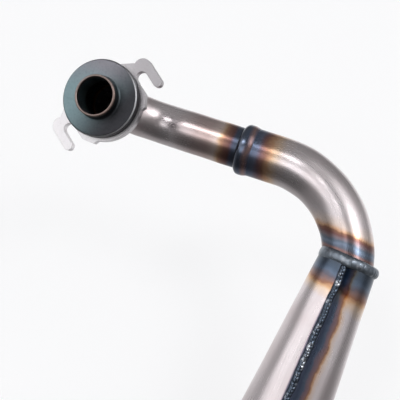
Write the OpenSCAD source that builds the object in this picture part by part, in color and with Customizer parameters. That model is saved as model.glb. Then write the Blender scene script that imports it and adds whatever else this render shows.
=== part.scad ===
// Two-stroke scooter exhaust in bare steel: turned spigot, hooked flange plate, bent header,
// swept elbow, rolled and seam-welded expansion chamber, stinger and silencer.
// Millimetres, +Z up. The origin is the centre of the spigot ring's gasket face.
// The header runs along +X, the chamber drops towards -Y and lies on its belly.

/* [Spigot] */
// Diameter of the gas bore
bore_d = 23.6; // [18:0.1:30]
// Outer diameter of the stub that enters the cylinder
stub_d = 26.8; // [22:0.1:34]
// Length of the stub beyond the gasket face
stub_len = 8; // [4:0.5:14]
// Outer diameter of the shoulder ring
ring_d = 50; // [42:0.5:60]
// Thickness of the shoulder ring
ring_t = 6.5; // [4:0.5:10]
// Tilt of the spigot axis from vertical
spigot_tilt = 34.3; // [15:0.1:50]

/* [Flange plate] */
// Thickness of the flange plate
plate_t = 5; // [3:0.5:8]
// Distance between the two stud slots
stud_spacing = 58; // [54:0.5:66]
// Width of a stud slot
slot_w = 7.5; // [6:0.1:9]
// Offset of the slots' closed ends from the port centre
slot_seat = 3; // [0:0.5:5]
// Width of the hook arm outside a slot
arm_w = 6; // [4:0.5:9]
// Reach of the hook arms past the slot seat
arm_reach = 8.5; // [4:0.5:14]
// Turn of the stud line about the spigot axis
plate_turn = 51.7; // [0:0.1:90]

/* [Header and elbow] */
// Outer diameter of the header pipe
header_d = 28; // [24:0.5:34]
// Outer diameter of the elbow
elbow_d = 32.5; // [30:0.5:40]
// Wall of the header and the elbow
tube_wall = 1.5; // [1:0.1:2]
// Centreline radius of the header bend
header_bend_r = 37; // [32:1:60]
// Length of the straight header pipe
header_len = 52.6; // [30:0.1:90]
// Straight length of the elbow before its bend
elbow_lead = 26.4; // [16:0.1:50]
// Centreline radius of the elbow
elbow_bend_r = 63; // [50:1:90]
// Bend angle of the elbow
elbow_angle = 78.7; // [60:0.1:90]
// Drop of the elbow's bend plane below the horizontal
elbow_drop = 22.2; // [0:0.1:40]

/* [Chamber] */
// Outer diameter of the first cone's mouth
mouth_d = 37.2; // [36.5:0.1:44]
// Length of the first cone
cone_1_len = 128; // [90:1:160]
// Outer diameter between the first and second cones
cone_1_d = 57; // [48:0.5:66]
// Length of the second cone
cone_2_len = 62; // [40:1:90]
// Outer diameter between the second and third cones
cone_2_d = 73; // [66:0.5:80]
// Length of the third cone
cone_3_len = 46; // [30:1:70]
// Outer diameter of the belly
belly_d = 84; // [80:0.5:100]
// Length of the belly
belly_len = 48; // [30:1:90]
// Length of the baffle cone
baffle_len = 112; // [80:1:150]
// Thickness of the rolled sheet
sheet_wall = 1.2; // [0.8:0.1:2]
// Compass heading of the chamber, with 0 along +X
chamber_yaw = -94.6; // [-120:0.1:-80]
// Downward slope of the first cone
cone_drop = 28.5; // [15:0.1:35]

/* [Stinger and silencer] */
// Outer diameter of the stinger
stinger_d = 22; // [18:0.5:28]
// Centreline radius of the stinger's two bends
stinger_bend_r = 42; // [36:1:60]
// Angle of each stinger bend
stinger_angle = 46; // [35:1:60]
// Sideways offset of the silencer from the chamber
silencer_offset = 88; // [80:1:120]
// Outer diameter of the silencer
silencer_d = 60; // [54:0.5:76]
// Length of the silencer shell
silencer_len = 185; // [140:1:260]
// Outer diameter of the perforated core
core_d = 25; // [22:0.5:30]
// Outer diameter of the tail pipe
tail_d = 22; // [18:0.5:26]

/* [Brackets] */
// Thickness of the mounting bracket
bracket_t = 4; // [3:0.5:6]
// Distance between the bracket's bolt holes
bracket_pitch = 40; // [34:1:60]
// Diameter of the bracket's bolt holes
bracket_hole_d = 8.5; // [6:0.1:10.5]
// Width of the silencer clamp band
band_w = 20; // [14:1:30]
// Thickness of the silencer clamp band
band_t = 1.5; // [1:0.1:3]

/* [Welds] */
// Width of a circumferential weld bead
bead_w = 4.4; // [3:0.1:6]
// Height of a weld bead above the sheet
bead_h = 1.4; // [0.8:0.1:2]
// Spacing of the ripples along a seam weld
ripple = 3.2; // [2.4:0.1:6]
// Depth of the ripples along a seam weld
ripple_depth = 0.35; // [0.1:0.05:0.6]

/* [Hidden] */
$fn = 96;
STEEL = "#9c989a";
DARK = "#4a5256";
SATIN = "#b9b6b8";
WELD = "#5b6068";

// Clearances and small turned details
fit_gap = 0.25;
chamfer = 0.9;
reach_in = 4;
big = 400;
hair = 0.03;
overlap = 0.6;

// Spigot frame: local +Z looks out of the cylinder end, the gas flows towards -Z
tube_start = -ring_t;
plate_back = -(ring_t + plate_t);
bend_start = plate_back - 0.9;
plate_bore_r = header_d / 2 + fit_gap;
body_r = ring_d / 2 + 0.5;
body_shift = 1.7;
knuckle_r = 6;

// The header's corner and the points along the header and elbow
out_dir = [0, -sin(spigot_tilt), cos(spigot_tilt)];
corner = out_dir * (bend_start - header_bend_r);
header_start = corner + [header_bend_r, 0, 0];
collar_at = header_start + [header_len, 0, 0];
elbow_from = collar_at + [elbow_lead, 0, 0];
drop_dir = [0, -cos(elbow_drop), -sin(elbow_drop)];
elbow_end = elbow_from + [elbow_bend_r * sin(elbow_angle), 0, 0]
    + drop_dir * elbow_bend_r * (1 - cos(elbow_angle));

// Chamber segments: start radius, end radius, length and downward slope
SEGMENTS = [
    [mouth_d / 2, cone_1_d / 2, cone_1_len, cone_drop],
    [cone_1_d / 2, cone_2_d / 2, cone_2_len, cone_drop * 2 / 3],
    [cone_2_d / 2, belly_d / 2, cone_3_len, cone_drop / 3],
    [belly_d / 2, belly_d / 2, belly_len, 0],
    [belly_d / 2, stinger_d / 2, baffle_len, 0]
];
function slope(i) = SEGMENTS[i][3];
function flow(p) = [cos(p) * cos(chamber_yaw), cos(p) * sin(chamber_yaw), -sin(p)];
function segment_at(i) = i == 0 ? elbow_end : segment_at(i - 1) + flow(slope(i - 1)) * SEGMENTS[i - 1][2];
function taper(i) = (SEGMENTS[i][1] - SEGMENTS[i][0]) / SEGMENTS[i][2];

stinger_from = segment_at(4) + flow(0) * baffle_len;
// The belly's weld rings and the silencer's clamp band lie on one floor
silencer_drop = belly_d / 2 + bead_h - silencer_d / 2 - band_t;
side_shift = sqrt(silencer_offset * silencer_offset + silencer_drop * silencer_drop);
side_roll = atan2(silencer_drop, silencer_offset);
stinger_run = (side_shift - 2 * stinger_bend_r * (1 - cos(stinger_angle))) / sin(stinger_angle);
stinger_long = 2 * stinger_bend_r * sin(stinger_angle) + stinger_run * cos(stinger_angle);
stinger_lead = 14;
stinger_tail = 16;
side_dir = [-sin(chamber_yaw), cos(chamber_yaw), 0];
silencer_from = stinger_from + flow(0) * (stinger_lead + stinger_long + stinger_tail)
    + side_dir * silencer_offset - [0, 0, silencer_drop];

// Silencer construction
shell_t = 1.2;
cap_t = 2.5;
cap_lip = 12;
core_wall = 1;
core_hole_d = 5.5;
rivet_d = 4;
rivet_count = 8;
tail_len = 38;

// Collar over the joint between header and elbow
sleeve_front = 3;
sleeve_back = 8;
sleeve_rise = 1.1;

// Fat ring where the elbow meets the first cone
neck_r = mouth_d / 2 + 0.4;
neck_bead = 3;
neck_axis_shift = -0.6;

// Bead section: a circle sunk until its chord is the bead's width
function bead_radius(w, h) = (w * w / 4 + h * h) / (2 * h);
bead_r = bead_radius(bead_w, bead_h);
bead_sink = bead_r - bead_h;
// Seams of the belly and the baffle lie on the side, clear of the bracket
seam_turn = 75;
// Seam welds by segment: clearance at the start, clearance at the end, turn about the axis
SEAMS = [[0, 4.5, 0], [5.5, 5.5, 0], [6.5, 6.5, 0], [4, 3, seam_turn], [3, 3.5, seam_turn]];
root_depth = 0.7;
root_half = 0.9;
root_inset = 1;
root_from_neck = 3.5;

// Frames

// Spigot frame: local +Z out of the port, local +X along the header
module at_spigot() {
    rotate([spigot_tilt, 0, 0]) children();
}

// Header frame: local +Z along the header, local +X towards the elbow's bend
module at_header(point) {
    translate(point) rotate([elbow_drop, 0, 0]) rotate([0, 90, 0]) rotate([0, 0, -90]) children();
}

// Chamber frame of one segment: local +Z along its axis, local -X up
module at_segment(i) {
    translate(segment_at(i)) rotate([0, 0, chamber_yaw]) rotate([0, 90 + slope(i), 0]) children();
}

// Level frame at the stinger's start: local +X up, local +Z along the chamber
module at_stinger() {
    translate(stinger_from) rotate([0, 0, chamber_yaw]) rotate([0, 90, 0]) children();
}

// Frame at the silencer's front, level
module at_silencer() {
    translate(silencer_from) rotate([0, 0, chamber_yaw]) rotate([0, 90, 0]) children();
}

// Everything on the far side of a plane through the local origin
module beyond(tilt) {
    rotate([0, tilt, 0]) translate([-big / 2, -big / 2, -big]) cube(big);
}

// Shared solids

module tube(r, wall, len) {
    rotate_extrude() translate([r - wall, 0]) square([wall, len]);
}

// Straight run next to a bend: it reaches into the bend's wall, a hair thinner than it
module bend_straight(r, wall, len, before, after) {
    translate([0, 0, -before])
        if (wall > 0) {
            tube(r - hair, wall - 2 * hair, len + before + after);
        } else {
            cylinder(h = len + before + after, r = r - hair);
        }
}

// Bend towards local +X, starting at the local origin along +Z
module tube_bend(r, wall, bend_r, angle) {
    translate([bend_r, 0, 0])
        rotate([90, 0, 0])
            rotate([0, 0, 180 - angle])
                rotate_extrude(angle = angle)
                    translate([bend_r, 0])
                        difference() {
                            circle(r);
                            if (wall > 0) circle(r - wall);
                        }
}

module after_bend(bend_r, angle) {
    translate([bend_r, 0, 0]) rotate([0, angle, 0]) translate([-bend_r, 0, 0]) children();
}

// Cone of a segment, run past both ends so that the mitre planes can cut it
module long_cone(i, inset) {
    s = SEGMENTS[i];
    over = 12;
    k = taper(i);
    translate([0, 0, -over])
        cylinder(h = s[2] + 2 * over, r1 = s[0] - k * over - inset, r2 = s[1] + k * over - inset);
}

// Closed cone between its two mitre planes
module mitred(i) {
    s = SEGMENTS[i];
    start_tilt = i == 0 ? 0 : (slope(i - 1) - slope(i)) / 2;
    end_tilt = i == len(SEGMENTS) - 1 ? 0 : (slope(i + 1) - slope(i)) / 2;
    difference() {
        children();
        beyond(start_tilt);
        translate([0, 0, s[2]]) rotate([0, end_tilt, 0]) translate([-big / 2, -big / 2, 0]) cube(big);
    }
}

// Rolled segment with the groove that its seam weld has melted into it
module cone_shell(i) {
    difference() {
        at_segment(i)
            mitred(i)
                difference() {
                    long_cone(i, 0);
                    long_cone(i, sheet_wall);
                }
        at_segment(i) seam_root(i);
    }
}

module cone_solid(i) {
    at_segment(i) mitred(i) long_cone(i, 0);
}

// Weld ring in the mitre plane in front of segment i
module joint_ring(i) {
    at_segment(i)
        rotate([0, (slope(i - 1) - slope(i)) / 2, 0])
            rotate_extrude()
                translate([SEGMENTS[i][0] - bead_sink, 0])
                    circle(bead_r, $fn = 32);
}

module cone_joint(i) {
    difference() {
        joint_ring(i);
        cone_solid(i - 1);
        cone_solid(i);
    }
}

// Rippled rod whose profile swells once per ripple
module rippled_rod(len) {
    count = floor(len / ripple);
    step = len / count;
    rotate_extrude($fn = 64)
        polygon(concat(
            [[0, 0]],
            [for (k = [0:count - 1]) each [
                [bead_r - ripple_depth, k * step],
                [bead_r, (k + 0.35) * step],
                [bead_r, (k + 0.6) * step]
            ]],
            [[bead_r - ripple_depth, len], [0, len]]
        ));
}

// Frame of a segment's seam, sunk under the sheet: local -X outwards, local +Z along the sheet
module at_seam(i) {
    rotate([0, 0, SEAMS[i][2]])
        translate([-(SEGMENTS[i][0] - bead_sink), 0, 0])
            rotate([0, -atan(taper(i)), 0])
                children();
}

function seam_end(i) = SEGMENTS[i][2] / cos(atan(taper(i))) - SEAMS[i][1];

// V-shaped root of a seam weld, a little shorter than the bead that covers it
module seam_root(i) {
    from = i == 0 ? root_from_neck : SEAMS[i][0] + root_inset;
    rise = 0.8;
    half = root_half * (root_depth + rise) / root_depth;
    at_seam(i)
        translate([0, 0, from])
            linear_extrude(seam_end(i) - root_inset - from)
                polygon([
                    [root_depth - bead_sink, 0], [-rise - bead_sink, half], [-rise - bead_sink, -half]
                ]);
}

// Seam weld along a segment between two rings: a rippled bead with its root
module cone_seam(i) {
    at_segment(i)
        difference() {
            at_seam(i)
                translate([0, 0, SEAMS[i][0]])
                    rippled_rod(seam_end(i) - SEAMS[i][0]);
            difference() {
                long_cone(i, 0, $fn = 240);
                seam_root(i);
            }
        }
}

// Spigot and flange

module spigot_ring() {
    color(DARK) at_spigot()
        rotate_extrude()
            polygon([
                [bore_d / 2, -ring_t], [ring_d / 2, -ring_t],
                [ring_d / 2, -chamfer], [ring_d / 2 - chamfer, 0],
                [stub_d / 2 + 0.8, 0], [stub_d / 2, 0.8],
                [stub_d / 2, stub_len - 0.5], [stub_d / 2 - 0.5, stub_len],
                [bore_d / 2 + 0.4, stub_len], [bore_d / 2, stub_len - 0.4]
            ]);
}

// One side of the plate: a web, a knuckle and a hook arm outside an open slot
module hook_side() {
    s = stud_spacing / 2;
    inner = s - slot_w / 2;
    slot_out = s + slot_w / 2;
    outer = slot_out + arm_w;
    arm_end = slot_seat + arm_reach;
    knuckle_at = [outer - knuckle_r, -2];
    difference() {
        union() {
            polygon([
                [0, -13], [inner - 4.5, -13.4], [knuckle_at[0] - 2.6, knuckle_at[1] - knuckle_r * 0.9],
                knuckle_at, [knuckle_at[0], slot_seat], [inner, arm_end + 2], [inner - 5, 20.5], [0, 20.5]
            ]);
            translate(knuckle_at) circle(knuckle_r);
            translate([slot_out, knuckle_at[1]]) square([arm_w, arm_end - knuckle_at[1]]);
            translate([slot_out + arm_w / 2, arm_end]) circle(arm_w / 2);
        }
        translate([s, slot_seat]) circle(slot_w / 2);
        translate([inner, slot_seat]) square([slot_w, 2 * body_r]);
    }
}

module flange_plate() {
    color(SATIN) at_spigot()
        translate([0, 0, plate_back])
            rotate([0, 0, plate_turn])
                linear_extrude(plate_t)
                    difference() {
                        union() {
                            translate([0, -body_shift]) circle(body_r);
                            rotate([0, 0, 180]) hook_side();
                            mirror([0, 1]) hook_side();
                        }
                        circle(plate_bore_r);
                    }
}

module flange_weld() {
    r = header_d / 2 + 2 * hair;
    color(WELD) at_spigot()
        translate([0, 0, plate_back])
            rotate_extrude()
                polygon([[r, 0], [r + 2.6, 0], [r + 2.2, -1.2], [r + 1.2, -2.2], [r, -2.6]]);
}

// Header and elbow

module header_bend_solid(wall) {
    r = header_d / 2;
    at_spigot() {
        translate([0, 0, bend_start]) {
            bend_straight(r, wall, tube_start - bend_start, overlap, 0);
            mirror([0, 0, 1]) tube_bend(r, wall, header_bend_r, 90);
        }
    }
}

module header_bend() {
    color(STEEL) header_bend_solid(tube_wall);
}

module header_pipe() {
    color(STEEL) at_header(header_start) tube(header_d / 2, tube_wall, header_len + reach_in);
}

// Collar that closes the step from the header up to the elbow
module header_collar() {
    r0 = header_d / 2;
    r1 = elbow_d / 2;
    top = r1 + sleeve_rise;
    color(WELD) at_header(collar_at)
        rotate_extrude()
            polygon(concat(
                [[r0, -sleeve_front], [r0, 0], [r1, 0]],
                [for (a = [0:15:75]) [r1 + sleeve_rise * sin(a), sleeve_back - 1.5 * (1 - cos(a))]],
                [for (a = [0:12:84]) [top - (top - r0) * (1 - cos(a)), -sleeve_front * sin(a) + 0.5 * cos(a)]]
            ));
}

module elbow_solid(wall) {
    r = elbow_d / 2;
    nose = 10;
    difference() {
        at_header(collar_at) {
            bend_straight(r, wall, elbow_lead, 0, overlap);
            translate([0, 0, elbow_lead]) {
                tube_bend(r, wall, elbow_bend_r, elbow_angle);
                after_bend(elbow_bend_r, elbow_angle) bend_straight(r, wall, nose, overlap, 0);
            }
        }
        at_segment(0) translate([-big / 2, -big / 2, 0]) cube(big);
    }
}

module elbow() {
    color(STEEL) elbow_solid(tube_wall);
}

// Weld that bridges from the elbow to the wider mouth of the first cone
module neck_ring() {
    at_segment(0)
        translate([0, 0, neck_axis_shift])
            rotate_extrude()
                translate([neck_r - 1, 0])
                    circle(neck_bead, $fn = 40);
}

module elbow_weld() {
    color(WELD) difference() {
        neck_ring();
        elbow_solid(0);
        at_segment(0) long_cone_from_mouth();
    }
}

// The first cone's outside and everything within it
module long_cone_from_mouth() {
    s = SEGMENTS[0];
    cylinder(h = s[2], r1 = s[0], r2 = s[1]);
}

// Chamber

module cone_1() {
    color(STEEL) cone_shell(0);
}

module cone_1_seam() {
    color(WELD) difference() {
        cone_seam(0);
        neck_ring();
    }
}

module cone_joint_1() {
    color(WELD) cone_joint(1);
}

module cone_2() {
    color(STEEL) cone_shell(1);
}

module cone_2_seam() {
    color(WELD) cone_seam(1);
}

module cone_joint_2() {
    color(WELD) cone_joint(2);
}

module cone_3() {
    color(STEEL) cone_shell(2);
}

module cone_3_seam() {
    color(WELD) cone_seam(2);
}

module cone_joint_3() {
    color(WELD) cone_joint(3);
}

module belly() {
    color(STEEL) cone_shell(3);
}

module belly_seam() {
    color(WELD) cone_seam(3);
}

module belly_joint() {
    color(WELD) cone_joint(4);
}

module baffle_cone() {
    color(STEEL) cone_shell(4);
}

module baffle_seam() {
    color(WELD) cone_seam(4);
}

// Stinger

module stinger_path(r, wall) {
    at_stinger()
        rotate([0, 0, 90 - side_roll]) {
            bend_straight(r, wall, stinger_lead, 0, overlap);
            translate([0, 0, stinger_lead]) {
                tube_bend(r, wall, stinger_bend_r, stinger_angle);
                after_bend(stinger_bend_r, stinger_angle) {
                    bend_straight(r, wall, stinger_run, overlap, overlap);
                    translate([0, 0, stinger_run])
                        rotate([0, 0, 180]) {
                            tube_bend(r, wall, stinger_bend_r, stinger_angle);
                            after_bend(stinger_bend_r, stinger_angle)
                                bend_straight(r, wall, stinger_tail + cap_t, overlap, 0);
                        }
                }
            }
        }
}

module stinger() {
    color(STEEL) stinger_path(stinger_d / 2, tube_wall);
}

module stinger_weld() {
    color(WELD) difference() {
        at_stinger()
            rotate_extrude()
                translate([stinger_d / 2 - bead_sink, 0])
                    circle(bead_r, $fn = 32);
        cone_solid(4);
        at_stinger() cylinder(h = 20, r = stinger_d / 2);
    }
}

// Silencer

// End cap: a pressed disc with a lip that slides inside the shell
module end_cap(hole_r) {
    r = silencer_d / 2 - shell_t - fit_gap / 2;
    rotate_extrude()
        polygon([
            [hole_r, 0], [r - 2, 0], [r - 0.6, 0.6], [r, 2], [r, cap_lip],
            [r - 1.5, cap_lip], [r - 1.5, cap_t + 1.2], [r - 2.7, cap_t], [hole_r, cap_t]
        ]);
}

module silencer_front_cap() {
    color(SATIN) at_silencer() end_cap(stinger_d / 2 + fit_gap / 2);
}

module silencer_rear_cap() {
    color(SATIN) at_silencer()
        translate([0, 0, silencer_len])
            mirror([0, 0, 1])
                end_cap(tail_d / 2 + fit_gap / 2);
}

module rivet_places(z) {
    for (k = [0:rivet_count - 1])
        rotate([0, 0, (k + 0.5) * 360 / rivet_count])
            translate([silencer_d / 2, 0, z])
                rotate([0, 90, 0])
                    children();
}

module silencer_shell() {
    color(SATIN) at_silencer()
        difference() {
            tube(silencer_d / 2, shell_t, silencer_len);
            for (z = [cap_lip * 0.55, silencer_len - cap_lip * 0.55])
                rivet_places(z)
                    translate([0, 0, -4]) cylinder(h = 8, d = rivet_d + 0.2, $fn = 24);
        }
}

// Domed rivet heads with shanks in the shell's holes
module silencer_rivets() {
    color(SATIN) at_silencer()
        for (z = [cap_lip * 0.55, silencer_len - cap_lip * 0.55])
            rivet_places(z)
                rotate_extrude($fn = 24)
                    polygon([
                        [0, -shell_t], [rivet_d / 2, -shell_t], [rivet_d / 2, 0.05], [rivet_d * 0.95, 0.1],
                        [rivet_d * 0.85, 0.7], [rivet_d * 0.5, 1.2], [0, 1.4]
                    ]);
}

core_from = cap_t;
core_to = silencer_len - cap_t;

// Perforated core: rings of round holes, turned by half a pitch from one ring to the next
module silencer_core() {
    rings = 7;
    holes = 6;
    margin = 18;
    step = (core_to - core_from - 2 * margin) / (rings - 1);
    color(STEEL) at_silencer()
        translate([0, 0, core_from])
            difference() {
                tube(core_d / 2, core_wall, core_to - core_from);
                for (i = [0:rings - 1], k = [0:holes - 1])
                    rotate([0, 0, (k + (i % 2) / 2) * 360 / holes])
                        translate([core_d / 2 - 3 * core_wall, 0, margin + i * step])
                            rotate([0, 90, 0])
                                cylinder(h = 5 * core_wall, d = core_hole_d, $fn = 24);
            }
}

// Glass wool between the core and the shell
module silencer_packing() {
    color("#d8cfa8") at_silencer()
        translate([0, 0, cap_lip + 1])
            tube(silencer_d / 2 - shell_t - fit_gap, silencer_d / 2 - shell_t - core_d / 2 - 2 * fit_gap,
                silencer_len - 2 * cap_lip - 2);
}

module tail_pipe() {
    color(STEEL) at_silencer()
        translate([0, 0, silencer_len - cap_t])
            tube(tail_d / 2, tube_wall, tail_len);
}

// Fillet weld round a pipe where it enters a cap: local +Z points into the silencer
module cap_weld(r) {
    rotate_extrude()
        polygon([[r, 0], [r + 2.4, 0], [r + 1.9, -1.1], [r + 1.1, -1.9], [r, -2.4]]);
}

module inlet_weld() {
    color(WELD) at_silencer() cap_weld(stinger_d / 2);
}

module outlet_weld() {
    color(WELD) at_silencer()
        translate([0, 0, silencer_len])
            mirror([0, 0, 1])
                cap_weld(tail_d / 2);
}

// Clamp band

band_at = silencer_len * 0.3;
band_gap = 6;
ear_len = 16;
ear_edge = 7;
band_bolt_d = 6;
ear_out = band_gap / 2 + band_t;

// Bolt axis across the ears of the band, with local +Z from the bolt's head to its nut
module at_band_bolt() {
    at_silencer()
        translate([-silencer_d / 2 - ear_len + ear_edge, ear_out, band_at + band_w / 2])
            rotate([90, 0, 0])
                children();
}

module silencer_band() {
    r = silencer_d / 2;
    color(SATIN) difference() {
        at_silencer()
            translate([0, 0, band_at])
                difference() {
                    union() {
                        cylinder(h = band_w, r = r + band_t);
                        translate([-r - ear_len, -ear_out, 0]) cube([ear_len, 2 * ear_out, band_w]);
                    }
                    translate([0, 0, -1]) cylinder(h = band_w + 2, r = r);
                    translate([-r - ear_len - 1, -band_gap / 2, -1]) cube([ear_len + r, band_gap, band_w + 2]);
                }
        at_band_bolt() translate([0, 0, -10]) cylinder(h = 40, d = band_bolt_d + 2 * fit_gap);
    }
}

module band_bolt() {
    color(SATIN) at_band_bolt() {
        translate([0, 0, -4]) cylinder(h = 4, d = 11.5, $fn = 6);
        cylinder(h = 2 * ear_out + 7, d = band_bolt_d);
    }
}

module band_nut() {
    color(SATIN) at_band_bolt()
        translate([0, 0, 2 * ear_out])
            difference() {
                cylinder(h = 5, d = 11.5, $fn = 6);
                translate([0, 0, -1]) cylinder(h = 7, d = band_bolt_d + 0.1);
            }
}

// Engine bracket

// Middle of the belly's top, where the bracket stands square to X
bracket_at = segment_at(3) + flow(0) * belly_len / 2 + [0, 0, belly_d / 2];
foot_half = 15;
bracket_rise = 20;
bracket_top = 11;

module bracket_plate() {
    h = bracket_pitch / 2;
    translate([bracket_at[0] + bracket_t / 2, bracket_at[1], bracket_at[2]])
        rotate([90, 0, -90])
            linear_extrude(bracket_t)
                difference() {
                    union() {
                        polygon([
                            [-foot_half, -6], [foot_half, -6], [foot_half, 4],
                            [h + bracket_top * 0.8, bracket_rise - bracket_top * 0.6],
                            [h, bracket_rise], [h, bracket_rise + bracket_top],
                            [-h, bracket_rise + bracket_top], [-h, bracket_rise],
                            [-h - bracket_top * 0.8, bracket_rise - bracket_top * 0.6], [-foot_half, 4]
                        ]);
                        for (side = [-1, 1])
                            translate([side * h, bracket_rise]) circle(bracket_top);
                    }
                    for (side = [-1, 1])
                        translate([side * h, bracket_rise]) circle(bracket_hole_d / 2);
                }
}

module engine_bracket() {
    color(STEEL) difference() {
        bracket_plate();
        cone_solid(3);
    }
}

// Fillet welds along both sides of the bracket's foot
module bracket_welds() {
    color(WELD) difference() {
        for (side = [-1, 1])
            translate([bracket_at[0] + side * bracket_t / 2, bracket_at[1], bracket_at[2] - 0.3])
                rotate([90, 0, 0])
                    cylinder(h = 2 * foot_half - 2, r = 2.6, center = true, $fn = 32);
        bracket_plate();
        cone_solid(3);
    }
}

spigot_ring();
flange_plate();
flange_weld();
header_bend();
header_pipe();
header_collar();
elbow();
elbow_weld();
cone_1();
cone_1_seam();
cone_joint_1();
cone_2();
cone_2_seam();
cone_joint_2();
cone_3();
cone_3_seam();
cone_joint_3();
belly();
belly_seam();
belly_joint();
baffle_cone();
baffle_seam();
stinger_weld();
stinger();
silencer_front_cap();
silencer_shell();
silencer_rear_cap();
silencer_core();
silencer_packing();
tail_pipe();
inlet_weld();
outlet_weld();
silencer_rivets();
silencer_band();
band_bolt();
band_nut();
engine_bracket();
bracket_welds();
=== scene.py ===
"""Look of a bare-steel two-stroke scooter exhaust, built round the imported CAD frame.

Sizes are in millimetres, as in the part's source, and become metres where a mesh is made.
"""

import logging
import math
from dataclasses import dataclass, field
from enum import Enum
from typing import Callable, Optional, Sequence, Union

import bmesh
import bpy
import numpy as np
from mathutils import Matrix, Vector


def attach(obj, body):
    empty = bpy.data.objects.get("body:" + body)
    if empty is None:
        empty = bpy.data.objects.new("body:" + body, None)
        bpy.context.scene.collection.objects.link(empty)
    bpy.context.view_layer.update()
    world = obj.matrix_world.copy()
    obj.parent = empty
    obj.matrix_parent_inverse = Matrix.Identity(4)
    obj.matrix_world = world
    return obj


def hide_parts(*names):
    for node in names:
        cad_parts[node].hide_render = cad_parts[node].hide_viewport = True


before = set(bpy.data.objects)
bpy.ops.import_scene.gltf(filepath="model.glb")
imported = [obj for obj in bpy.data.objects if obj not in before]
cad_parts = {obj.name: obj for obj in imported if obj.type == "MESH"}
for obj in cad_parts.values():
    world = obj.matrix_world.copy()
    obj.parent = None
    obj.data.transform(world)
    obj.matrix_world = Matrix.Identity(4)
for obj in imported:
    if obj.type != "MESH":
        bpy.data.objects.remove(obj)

LOG = logging.getLogger("exhaust")
MM = 0.001
SMOOTH_ANGLE = 60.0
CAD_SHARP_ANGLE = 35.0
CAD_FLAT_ANGLE = 1.0
BEVEL_ANGLE = 40.0
Colour = tuple[float, float, float]
Number = Union[float, "Signal"]
Tone = Union[Colour, "Signal"]


class Slot(Enum):
    """Material slots of the record."""

    RAW = "raw_steel"
    TURNED = "turned_steel"
    PLATE = "plate_steel"
    WELD = "weld_steel"
    SILENCER = "silencer_metal"
    RIVET = "rivet_metal"
    FASTENER = "fastener_steel"


class Trace(Enum):
    """Attributes that the pieces carry for their finishes, in millimetres."""

    ALONG = "along"
    ROUND = "round_arc"
    START = "start_gap"
    END = "end_gap"
    SEAM = "seam_gap"


# Shader maths


class Signal:
    """A socket that adds its Math nodes when it is used in an expression."""

    def __init__(self, shader: "Shader", socket: bpy.types.NodeSocket) -> None:
        """Wraps a socket.

        Args:
            shader: the shader that the socket's node is in.
            socket: the output socket.
        """
        self.shader = shader
        self.socket = socket

    def _maths(self, operation: str, *values: Number) -> "Signal":
        """A Math node on these values."""
        inputs = dict(enumerate(values))
        return self.shader.add("ShaderNodeMath", {"operation": operation}, inputs)

    def __add__(self, other: Number) -> "Signal":
        """Sum."""
        return self._maths("ADD", self, other)

    __radd__ = __add__

    def __sub__(self, other: Number) -> "Signal":
        """Difference."""
        return self._maths("SUBTRACT", self, other)

    def __rsub__(self, other: Number) -> "Signal":
        """Difference, with the signal on the right."""
        return self._maths("SUBTRACT", other, self)

    def __mul__(self, other: Number) -> "Signal":
        """Product."""
        return self._maths("MULTIPLY", self, other)

    __rmul__ = __mul__

    def __truediv__(self, other: Number) -> "Signal":
        """Quotient."""
        return self._maths("DIVIDE", self, other)

    def __rtruediv__(self, other: Number) -> "Signal":
        """Quotient, with the signal below the line."""
        return self._maths("DIVIDE", other, self)

    def between(self, low: float, high: float) -> "Signal":
        """Smooth step.

        Args:
            low: value that gives 0.
            high: value that gives 1.

        Returns:
            The step, from 0 to 1.
        """
        settings = {"interpolation_type": "SMOOTHSTEP"}
        inputs = {"Value": self, "From Min": low, "From Max": high}
        return self.shader.add("ShaderNodeMapRange", settings, inputs)


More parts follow.
